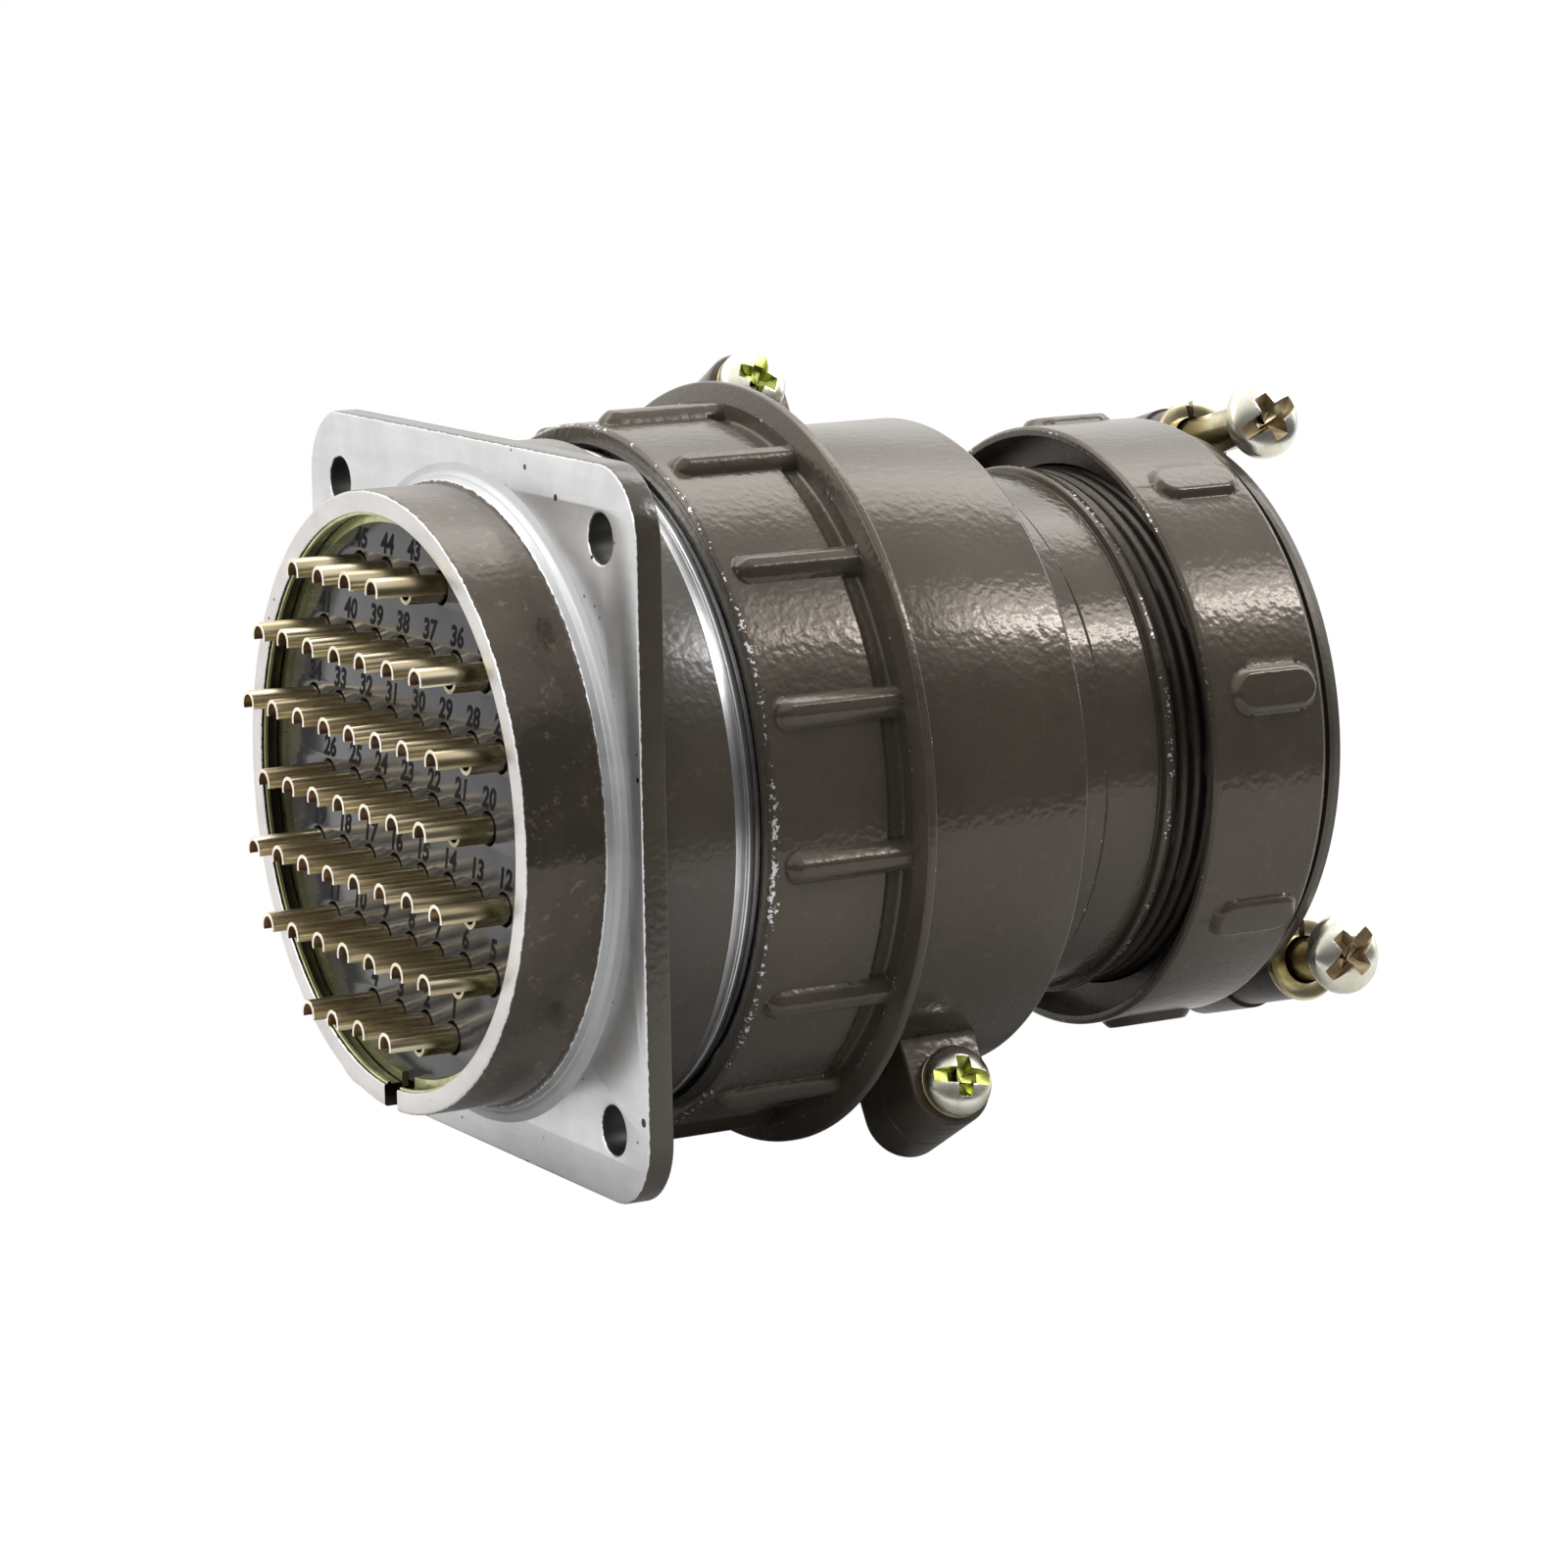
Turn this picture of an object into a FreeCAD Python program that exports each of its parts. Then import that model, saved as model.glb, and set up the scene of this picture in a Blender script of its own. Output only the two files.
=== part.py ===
# Circular multi-pole connector: a square-flange receptacle with a cable plug locked on it.
#
# Frame: X is the connector's axis, from the wiring side (-X) to the cable entry (+X).
# The origin is the centre of the flange's bare face, the one that lies on a panel. +Z is up.
# All lengths are millimetres and all angles are degrees.
import FreeCAD, Part
import Sketcher
import math
import os

os.makedirs("parts", exist_ok=True)
doc = FreeCAD.newDocument("connector")

# Driving dimensions: one cell each, in the order in which the pieces follow each other.
DIMENSIONS = {
    # receptacle shell
    "flange_thick": 2.5,
    "flange_corner": 6.5,
    "mount_hole": 4.4,
    "mount_pitch": 52.0,
    "collar_length": 9.0,
    "collar_wall": 2.05,
    "foot_length": 2.0,
    "foot_step": 0.6,
    "foot_flare": 1.5,
    "notch_width": 2.6,
    "notch_depth": 3.0,
    "barrel_step": 1.45,
    "barrel_length": 7.3,
    "bare_step": 0.6,
    "bare_length": 2.5,
    "relief_depth": 0.7,
    "relief_length": 0.6,
    "thread_wall": 3.5,
    "thread_length": 11.1,
    "seal_step": 2.0,
    "seat_thick": 3.5,
    "seat_depth": 0.5,
    "edge_break": 0.4,
    # inserts and contacts
    "insert_bore": 24.5,
    "insert_shoulder": 1.65,
    "insert_sink": 2.4,
    "insert_gap": 0.15,
    "insert_front": 4.0,
    "contact_pitch": 5.42,
    "contact_row": 6.76,
    "contact_radius": 1.3,
    "contact_gap": 0.04,
    "cup_reach": 6.7,
    "cup_wall": 0.5,
    "cup_depth": 4.6,
    "cup_scoop": 3.3,
    "cup_cut": 0.35,
    "cut_slant": 0.9,
    "pin_radius": 0.75,
    "pin_reach": 12.0,
    "pin_gap": 0.12,
    # rings and seals
    "ring_thick": 0.6,
    "ring_width": 1.4,
    "ring_bite": 0.6,
    "ring_gap": 2.6,
    "seal_thick": 1.8,
    # plug shell
    "skirt_gap": 0.3,
    "seal_gap": 0.3,
    "mate_gap": 0.3,
    "shoulder_step": 0.3,
    "shoulder_thick": 2.1,
    "waist_step": 2.1,
    "spigot_step": 1.1,
    "spigot_flange": 1.4,
    "spigot_flange_thick": 1.5,
    "plug_wall": 1.8,
    "plug_lip": 1.0,
    "plug_lip_inset": 1.6,
    "plug_insert_length": 24.4,
    "socket_length": 28.2,
    "socket_clear": 1.55,
    "key_width": 3.0,
    "key_height": 1.2,
    "key_gap": 0.2,
    # coupling nut
    "nut_mouth_gap": 0.3,
    "nut_mouth_step": 0.7,
    "nut_face_cone": 0.4,
    "nut_wall": 2.3,
    "nut_thread_gap": 0.3,
    "nut_lip_gap": 0.3,
    "nut_lip_thick": 1.0,
    "nut_recess_depth": 0.4,
    "nut_recess_length": 1.6,
    "nut_ring_rise": 2.9,
    "nut_ring_front_rise": 1.1,
    "nut_ring_length": 1.5,
    "nut_ring_land": 0.8,
    "nut_ribs": 15,
    "nut_rib_width": 3.0,
    "nut_rib_height": 1.15,
    "nut_rib_inset": 1.3,
    "nut_rib_overrun": 0.3,
    # backshell
    "body_gap": 0.5,
    "body_play": 0.4,
    "body_length": 18.5,
    "body_wall": 2.5,
    "body_round": 0.5,
    "body_tilt": 59.6,
    "hook_length": 8.0,
    "hook_gap": 0.2,
    "end_wall": 2.2,
    "neck_radius": 24.9,
    "neck_length": 22.7,
    "neck_wall": 2.4,
    "bushing_seat": 3.2,
    "lug_margin": 1.9,
    "lug_clear": 1.3,
    "lug_back": 8.5,
    "lug_near": 5.6,
    "lug_far": 5.0,
    "lug_root": 1.3,
    "lug_screw": 1.5,
    "lug_play": 0.2,
    "lug_head_step": 1.6,
    "lug_head_height": 2.2,
    "lug_washer": 0.7,
    "screw_gap": 0.05,
    # cable bushing and its washer
    "cable_radius": 9.0,
    "bushing_length": 8.6,
    "bushing_gap": 0.2,
    "gland_washer": 1.0,
    # rear nut and slip washer
    "rear_nut_length": 13.0,
    "rear_nut_wall": 3.7,
    "rear_nut_bevel": 0.8,
    "rear_mouth_step": 2.2,
    "rear_mouth_depth": 2.4,
    "rear_thread_gap": 0.3,
    "rear_lip": 1.3,
    "rear_lip_reach": 4.7,
    "rear_ribs": 8,
    "rear_rib_width": 3.5,
    "rear_rib_height": 0.6,
    "rear_rib_inset": 2.4,
    "rear_rib_length": 9.4,
    "rear_rib_turn": -29.0,
    "slip_thick": 0.8,
    "slip_gap": 0.1,
    # cable clamp
    "hub_end_gap": 0.3,
    "hub_flange": 2.6,
    "hub_flange_gap": 0.6,
    "hub_wall": 4.0,
    "hub_gap": 0.3,
    "clamp_gap": 0.8,
    "clamp_overhang": 0.6,
    "clamp_ring_thick": 1.2,
    "clamp_inset": 3.7,
    "base_plate_gap": 1.2,
    "base_plate_thick": 1.4,
    "clamp_tilt": 75.1,
    "clamp_ease": 0.5,
    "base_lug_depth": 8.0,
    "base_bar_depth": 5.0,
    "base_top": 0.5,
    "arch_wall": 3.0,
    "saddle_gap": 0.3,
    "saddle_high_top": 4.0,
    "saddle_low_top": 9.5,
    "clamp_screw": 2.0,
    "clamp_play": 0.3,
    "clamp_screw_depth": 5.5,
    "clamp_head_step": 1.8,
    "clamp_head_height": 2.6,
    "clamp_slack": 3.9,
    "clamp_washer": 1.0,
    "clamp_washer_width": 1.6,
    # how far a cutting tool reaches past the piece that it cuts
    "cut_overrun": 1.0,
}

sheet = doc.addObject("Spreadsheet::Sheet", "sizes")
for row, (name, number) in enumerate(DIMENSIONS.items(), start=1):
    sheet.set(f"A{row}", name)
    sheet.set(f"B{row}", str(number))
    sheet.setAlias(f"B{row}", name)
doc.recompute()

# Contact rows from the top, with how many contacts each holds.
CONTACT_ROWS = (4, 7, 8, 7, 8, 7, 4)
# Shares of a screw head's height that is rounded, of a washer's thickness that its slit takes,
# of a far lug's depth that its screw enters and of a rib's half width that its end tapers.
HEAD_ROUNDING = 0.45
SLIT_SHARE = 0.5
LUG_THREAD_SHARE = 0.8
RIB_TAPER = 0.6
# Lengths below this are taken as nothing when edges are picked and volumes compared.
TOUCH = 0.001
X_AXIS = FreeCAD.Vector(1, 0, 0)
Z_AXIS = FreeCAD.Vector(0, 0, 1)
ORIGIN = FreeCAD.Vector(0, 0, 0)


class Size:
    """A length with the sheet formula that it comes from."""

    def __init__(self, value, formula):
        self.value = value
        self.formula = formula

    def joined(self, sign, other, result):
        return Size(result, f"({self.formula} {sign} {other.formula})")

    def __add__(self, other):
        other = as_size(other)
        return self.joined("+", other, self.value + other.value)

    def __sub__(self, other):
        other = as_size(other)
        return self.joined("-", other, self.value - other.value)

    def __mul__(self, other):
        other = as_size(other)
        return self.joined("*", other, self.value * other.value)

    def __truediv__(self, other):
        other = as_size(other)
        return self.joined("/", other, self.value / other.value)

    def __neg__(self):
        return Size(-self.value, f"(0 - {self.formula})")


def as_size(number):
    """A Size as it is, or a plain number as one."""
    if isinstance(number, Size):
        return number
    return Size(number, repr(float(number)))


def cell(name):
    """The value of one cell of the sheet, as a Size."""
    return Size(float(sheet.get(name)), f"sizes.{name}")


# Places along the axis, each worked out from the one before it.
flange_back = cell("flange_thick")
barrel_end = flange_back + cell("barrel_length")
bare_end = barrel_end + cell("bare_length")
relief_end = bare_end + cell("relief_length")
receptacle_end = relief_end + cell("thread_length")
collar_rim = -cell("collar_length")
insert_face = collar_rim + cell("insert_sink")
seat_rear = -cell("seat_depth")
seat_front = seat_rear + cell("seat_thick")
skirt_front = seat_front + cell("seal_thick") + cell("seal_gap")
shoulder_front = receptacle_end + cell("mate_gap")
shoulder_back = shoulder_front + cell("shoulder_thick")
nut_lip_front = shoulder_back + cell("nut_lip_gap")
nut_back = nut_lip_front + cell("nut_lip_thick")
body_front = nut_back + cell("body_gap")
body_end = body_front + cell("body_length")
neck_end = body_end + cell("neck_length")
hook_end = body_front + cell("hook_length")
spigot_end = hook_end + cell("hook_gap") + cell("spigot_flange_thick")
lug_place = body_front + cell("lug_back")
hub_flange_front = neck_end + cell("hub_end_gap")
hub_flange_back = hub_flange_front + cell("hub_flange")
slip_front = hub_flange_back + cell("slip_gap")
slip_back = slip_front + cell("slip_thick")
rear_lip_front = slip_back + cell("slip_gap")
rear_nut_back = rear_lip_front + cell("rear_lip")
rear_nut_front = rear_nut_back - cell("rear_nut_length")
clamp_ring_front = rear_nut_back + cell("clamp_gap")
clamp_ring_back = clamp_ring_front + cell("clamp_ring_thick")
base_plate_back = clamp_ring_back + cell("base_plate_thick")

# Radii from the insert outwards: it sets the shells round it, the plug and the nut.
seat_bore = cell("insert_bore")
collar_bore = seat_bore + cell("insert_shoulder")
collar_radius = collar_bore + cell("collar_wall")
foot_radius = collar_radius + cell("foot_step") + cell("foot_flare")
barrel_bore = seat_bore + cell("seal_step")
thread_radius = barrel_bore + cell("thread_wall")
barrel_radius = thread_radius + cell("barrel_step")
bare_radius = thread_radius + cell("bare_step")
relief_radius = thread_radius - cell("relief_depth")
mount_half = cell("mount_pitch") / 2
flange_half = mount_half + cell("flange_corner")
nut_thread = thread_radius + cell("nut_thread_gap")
nut_radius = nut_thread + cell("nut_wall")
skirt_radius = barrel_bore - cell("skirt_gap")
plug_bore = skirt_radius - cell("plug_wall")
shoulder_radius = thread_radius - cell("shoulder_step")
waist_radius = shoulder_radius - cell("waist_step")
spigot_radius = waist_radius - cell("spigot_step")
spigot_rim = spigot_radius + cell("spigot_flange")
body_bore = spigot_rim + cell("body_play")
body_radius = body_bore + cell("body_wall")
lug_head = cell("lug_screw") + cell("lug_head_step")
lug_hole = cell("lug_screw") + cell("lug_play")
lug_radius = lug_head + cell("lug_margin")
lug_distance = body_radius + lug_head + cell("lug_clear")

# Radii from the neck outwards and from the cable outwards.
neck_bore = cell("neck_radius") - cell("neck_wall")
rear_thread = cell("neck_radius") + cell("rear_thread_gap")
rear_nut_radius = rear_thread + cell("rear_nut_wall")
rear_nut_edge = rear_nut_radius - cell("rear_nut_bevel")
rear_mouth_radius = rear_thread + cell("rear_mouth_step")
rear_lip_radius = rear_thread - cell("rear_lip_reach")
hub_radius = rear_lip_radius - cell("hub_gap")
clamp_bore = cell("cable_radius") + cell("clamp_ease")
clamp_hole = cell("clamp_screw") + cell("clamp_play")
clamp_head = cell("clamp_screw") + cell("clamp_head_step")
clamp_washer_radius = clamp_hole + cell("clamp_washer_width")
clamp_lug = clamp_washer_radius - cell("saddle_gap")
clamp_ring_radius = rear_nut_radius + cell("clamp_overhang")
clamp_reach = clamp_ring_radius - cell("clamp_inset")
base_plate_radius = clamp_reach - clamp_lug - cell("base_plate_gap")
clamp_place = clamp_ring_back + clamp_washer_radius
clamp_back = clamp_place + clamp_washer_radius

edge = cell("edge_break")
overrun = cell("cut_overrun")
sub_parts = []


def origin_plane(body, role):
    """One of a body's own origin planes."""
    for feature in body.Origin.OriginFeatures:
        if feature.Role == role:
            return feature
    raise RuntimeError(f"no {role} in {body.Label}")


def new_body(label):
    body = doc.addObject("PartDesign::Body", label)
    body.Label = label
    sub_parts.append(body)
    return body


def new_sketch(body, name, role="XY_Plane", lift=None):
    """An empty sketch on an origin plane, or parallel to it at a given height."""
    sketch = body.newObject("Sketcher::SketchObject", name)
    sketch.AttachmentSupport = [(origin_plane(body, role), "")]
    sketch.MapMode = "FlatFace"
    if lift is not None:
        sketch.setExpression("AttachmentOffset.Base.z", lift.formula)
    return sketch


def tie(sketch, kind, geometry, point, size):
    """Holds one coordinate of a sketch point to a size."""
    index = sketch.addConstraint(Sketcher.Constraint(kind, -1, 1, geometry, point, size.value))
    sketch.setExpression(f"Constraints[{index}]", size.formula)


def tie_radius(sketch, geometry, radius):
    index = sketch.addConstraint(Sketcher.Constraint("Radius", geometry, radius.value))
    sketch.setExpression(f"Constraints[{index}]", radius.formula)


def pin_point(sketch, geometry, point, place):
    """Ties one point of a sketch to its two sizes."""
    tie(sketch, "DistanceX", geometry, point, place[0])
    tie(sketch, "DistanceY", geometry, point, place[1])


def add_outline(sketch, points):
    """A closed outline of straight lines through points, each a pair of sizes."""
    places = [(as_size(across), as_size(up)) for across, up in points]
    corners = [FreeCAD.Vector(across.value, up.value, 0) for across, up in places]
    first = sketch.GeometryCount
    count = len(corners)
    for index in range(count):
        line = Part.LineSegment(corners[index], corners[(index + 1) % count])
        sketch.addGeometry(line, False)
    for index in range(count):
        after = first + (index + 1) % count
        sketch.addConstraint(Sketcher.Constraint("Coincident", first + index, 2, after, 1))
    for index, place in enumerate(places):
        pin_point(sketch, first + index, 1, place)


def add_rectangle(sketch, low, high):
    add_outline(sketch, [low, (high[0], low[1]), high, (low[0], high[1])])


def add_circle(sketch, centre, radius):
    """A circle given by its centre, a pair of sizes, and its radius."""
    radius = as_size(radius)
    place = (as_size(centre[0]), as_size(centre[1]))
    middle = FreeCAD.Vector(place[0].value, place[1].value, 0)
    circle = sketch.addGeometry(Part.Circle(middle, Z_AXIS, radius.value), False)
    pin_point(sketch, circle, 3, place)
    tie_radius(sketch, circle, radius)


def add_half_end(sketch, centre, radius, begin, first, second):
    """A half circle from one line's end to another's, each end given as (line, point)."""
    middle = FreeCAD.Vector(centre[0].value, centre[1].value, 0)
    circle = Part.Circle(middle, Z_AXIS, radius.value)
    arc = sketch.addGeometry(Part.ArcOfCircle(circle, begin, begin + math.pi), False)
    sketch.addConstraint(Sketcher.Constraint("Coincident", arc, 1, *first))
    sketch.addConstraint(Sketcher.Constraint("Coincident", arc, 2, *second))
    return arc


def add_line(sketch, start, end):
    """A line with both its ends tied to their sizes."""
    corners = [FreeCAD.Vector(place[0].value, place[1].value, 0) for place in (start, end)]
    line = sketch.addGeometry(Part.LineSegment(*corners), False)
    pin_point(sketch, line, 1, start)
    pin_point(sketch, line, 2, end)
    return line


def add_round_bar(sketch, across, low, high, radius):
    """A bar along the sketch's Y with two half-round ends, centred on low and high."""
    across, low, high = as_size(across), as_size(low), as_size(high)
    left = add_line(sketch, (across - radius, low), (across - radius, high))
    right = add_line(sketch, (across + radius, low), (across + radius, high))
    top = add_half_end(sketch, (across, high), radius, 0, (right, 2), (left, 2))
    bottom = add_half_end(sketch, (across, low), radius, math.pi, (left, 1), (right, 1))
    tie(sketch, "DistanceY", top, 3, high)
    tie(sketch, "DistanceY", bottom, 3, low)


def add_long_rib(sketch, start, end, half, closed):
    """A rib along the sketch's X, tapered at its start and, where it is closed, at its end."""
    taper = half * RIB_TAPER
    blunt = half - taper
    last = end - taper if closed else end
    points = [(start, -blunt), (start + taper, -half), (last, -half)]
    if closed:
        points += [(end, -blunt), (end, blunt)]
    add_outline(sketch, points + [(last, half), (start + taper, half), (start, blunt)])


def add_lug(sketch, across, centre, root, radius, side):
    """A lug outline: straight flanks from the body's wall to a half-round end."""
    middle, base = (centre, root) if side > 0 else (-centre, -root)
    left = add_line(sketch, (across - radius, middle), (across - radius, base))
    add_line(sketch, (across - radius, base), (across + radius, base))
    right = add_line(sketch, (across + radius, base), (across + radius, middle))
    begin = 0 if side > 0 else math.pi
    ends = ((right, 2), (left, 1)) if side > 0 else ((left, 1), (right, 2))
    arc = add_half_end(sketch, (across, middle), radius, begin, *ends)
    tie(sketch, "DistanceY", arc, 3, middle)


def add_half_round(sketch, radius, flat, side):
    """The part of a disc about the origin that lies beyond a level line, above or below it."""
    half = math.sqrt(radius.value ** 2 - flat.value ** 2)
    line = sketch.addGeometry(Part.LineSegment(FreeCAD.Vector(-half, flat.value, 0),
                                               FreeCAD.Vector(half, flat.value, 0)), False)
    angle = math.atan2(flat.value, half)
    span = (angle, math.pi - angle) if side > 0 else (math.pi - angle, 2 * math.pi + angle)
    circle = Part.Circle(ORIGIN, Z_AXIS, radius.value)
    arc = sketch.addGeometry(Part.ArcOfCircle(circle, span[0], span[1]), False)
    sketch.addConstraint(Sketcher.Constraint("Coincident", arc, 3, -1, 1))
    ends = (2, 1) if side > 0 else (1, 2)
    sketch.addConstraint(Sketcher.Constraint("Coincident", arc, 1, line, ends[0]))
    sketch.addConstraint(Sketcher.Constraint("Coincident", arc, 2, line, ends[1]))
    sketch.addConstraint(Sketcher.Constraint("Horizontal", line))
    tie_radius(sketch, arc, radius)
    tie(sketch, "DistanceY", line, 1, flat)


def revolve(body, sketch, angle=360.0, backwards=False):
    """Turns a profile of (place along X, radius) about the X axis."""
    feature = body.newObject("PartDesign::Revolution", "turned")
    feature.Profile = sketch
    feature.ReferenceAxis = (sketch, ["H_Axis"])
    feature.Angle = angle
    feature.Reversed = backwards
    body.Tip = feature
    doc.recompute()
    return feature


def pad(body, sketch, length, backwards=False):
    feature = body.newObject("PartDesign::Pad", "pad")
    feature.Profile = sketch
    feature.setExpression("Length", as_size(length).formula)
    feature.Reversed = backwards
    body.Tip = feature
    doc.recompute()
    return feature


def pocket(body, sketch, length, backwards=False):
    """Cuts a sketch into the body and makes sure that material was removed."""
    before = body.Shape.Volume
    feature = body.newObject("PartDesign::Pocket", "pocket")
    feature.Profile = sketch
    feature.setExpression("Length", as_size(length).formula)
    feature.Reversed = backwards
    body.Tip = feature
    doc.recompute()
    if feature.Shape.Volume > before - TOUCH:
        raise RuntimeError(f"a pocket of {body.Label} cut nothing")
    return feature


def round_edges(body, feature, radius, wanted):
    """Rounds those edges of a feature that a test picks by their bounds."""
    edges = enumerate(feature.Shape.Edges, start=1)
    names = [f"Edge{index}" for index, line in edges if wanted(line.BoundBox)]
    rounded = body.newObject("PartDesign::Fillet", "rounded")
    rounded.Base = (feature, names)
    rounded.setExpression("Radius", radius.formula)
    body.Tip = rounded
    doc.recompute()
    return rounded


def polar_copies(body, feature, profile, count):
    """Repeats a feature round the X axis, which is the H axis of the turned profile."""
    pattern = body.newObject("PartDesign::PolarPattern", "round_pattern")
    pattern.Originals = [feature]
    pattern.Axis = (profile, ["H_Axis"])
    pattern.Angle = 360.0
    pattern.setExpression("Occurrences", count.formula)
    body.Tip = pattern
    doc.recompute()
    return pattern


def turned_body(label, points, angle=360.0, backwards=False):
    """A body turned from one profile, with the profile's sketch."""
    body = new_body(label)
    sketch = new_sketch(body, label + "_profile")
    add_outline(sketch, points)
    revolve(body, sketch, angle, backwards)
    return body, sketch


def tilt(piece, angle):
    """Turns a piece that is modelled with its screws along Z about the X axis."""
    piece.Placement = FreeCAD.Placement(ORIGIN, FreeCAD.Rotation(X_AXIS, angle.value))


def grouped(label, shapes):
    """Several like solids kept as one sub-part."""
    feature = doc.addObject("Part::Feature", label)
    feature.Label = label
    feature.Shape = Part.makeCompound(shapes)
    sub_parts.append(feature)
    return feature


def rod(radius, start, end, y=0.0, z=0.0):
    """A cylinder along X between two places."""
    return Part.makeCylinder(radius, end - start, FreeCAD.Vector(start, y, z), X_AXIS)


def contact_places():
    """The (y, z) of each contact, row by row from the top."""
    middle_row = (len(CONTACT_ROWS) - 1) / 2
    for row, count in enumerate(CONTACT_ROWS):
        for index in range(count):
            across = ((count - 1) / 2 - index) * cell("contact_pitch").value
            yield across, (middle_row - row) * cell("contact_row").value


def perforated(label, blank, start, end, radius):
    """A turned blank with one hole for each contact."""
    sub_parts.remove(blank)
    holes = doc.addObject("Part::Feature", label + "_holes")
    holes.Shape = Part.makeCompound([rod(radius, start, end, y, z) for y, z in contact_places()])
    cut = doc.addObject("Part::Cut", label)
    cut.Base = blank
    cut.Tool = holes
    cut.Label = label
    sub_parts.append(cut)
    return cut


def split_ring(outer, inner, start, end, gap):
    """A flat ring round X with a gap at its bottom."""
    ring = rod(outer, start, end).cut(rod(inner, start, end))
    corner = FreeCAD.Vector(start, -gap / 2, -outer)
    return ring.cut(Part.makeBox(end - start, gap, outer, corner))


def pan_screw(head_radius, head_height, shank_radius, shank_length):
    """A pan-head screw along Z, its head standing on z = 0."""
    head = Part.makeCylinder(head_radius, head_height)
    rim = [line for line in head.Edges if abs(line.BoundBox.ZMin - head_height) < TOUCH]
    head = head.makeFillet(head_height * HEAD_ROUNDING, rim[:1])
    shank = Part.makeCylinder(shank_radius, shank_length, FreeCAD.Vector(0, 0, -shank_length))
    return head.fuse(shank).removeSplitter()


def spring_washer(outer, inner, thick):
    """A split spring washer standing on z = 0."""
    ring = Part.makeCylinder(outer, thick).cut(Part.makeCylinder(inner, thick))
    slit = thick * SLIT_SHARE
    return ring.cut(Part.makeBox(outer, slit, thick, FreeCAD.Vector(0, -slit / 2, 0)))


def moved(shape, x, y, z):
    copy = shape.copy()
    copy.translate(FreeCAD.Vector(x, y, z))
    return copy


def make_receptacle_shell():
    """Square flange with the collar behind it and the threaded barrel in front."""
    shell, profile = turned_body("receptacle_shell", [
        (collar_rim, collar_bore),
        (collar_rim, collar_radius - edge),
        (collar_rim + edge, collar_radius),
        (-cell("foot_length"), collar_radius),
        (-cell("foot_length"), collar_radius + cell("foot_step")),
        (as_size(0), foot_radius),
        (flange_back, foot_radius),
        (flange_back, barrel_radius),
        (barrel_end, barrel_radius),
        (barrel_end, bare_radius),
        (bare_end, bare_radius),
        (bare_end, relief_radius),
        (relief_end, relief_radius),
        (relief_end, thread_radius),
        (receptacle_end - edge, thread_radius),
        (receptacle_end, thread_radius - edge),
        (receptacle_end, barrel_bore),
        (seat_front, barrel_bore),
        (seat_front, seat_bore),
        (seat_rear, seat_bore),
        (seat_rear, collar_bore),
        (insert_face, collar_bore),
        (insert_face, collar_bore + cell("ring_bite")),
        (insert_face - cell("ring_thick") - cell("insert_gap"), collar_bore + cell("ring_bite")),
        (insert_face - cell("ring_thick") - cell("insert_gap"), collar_bore),
    ])
    plate = new_sketch(shell, "flange_outline", "YZ_Plane")
    add_rectangle(plate, (-flange_half, -flange_half), (flange_half, flange_half))
    add_circle(plate, (0, 0), (barrel_bore + foot_radius) / 2)
    for y in (mount_half, -mount_half):
        for z in (mount_half, -mount_half):
            add_circle(plate, (y, z), cell("mount_hole") / 2)
    flange = pad(shell, plate, cell("flange_thick"))

    def at_corner(box):
        nearest = min(abs(box.Center.y), abs(box.Center.z))
        return box.YLength + box.ZLength < TOUCH and nearest > flange_half.value - TOUCH

    round_edges(shell, flange, cell("flange_corner"), at_corner)
    slot = new_sketch(shell, "rim_notch")
    side = cell("notch_width") / 2
    add_rectangle(slot, (collar_rim - overrun, -side), (collar_rim + cell("notch_depth"), side))
    pocket(shell, slot, collar_radius + overrun)
    keyway = new_sketch(shell, "keyway", lift=barrel_bore + cell("key_height"))
    side = cell("key_width") / 2 + cell("key_gap")
    add_rectangle(keyway, (skirt_front - cell("key_gap"), -side), (receptacle_end + overrun, side))
    pocket(shell, keyway, cell("key_height") + overrun)


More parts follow.
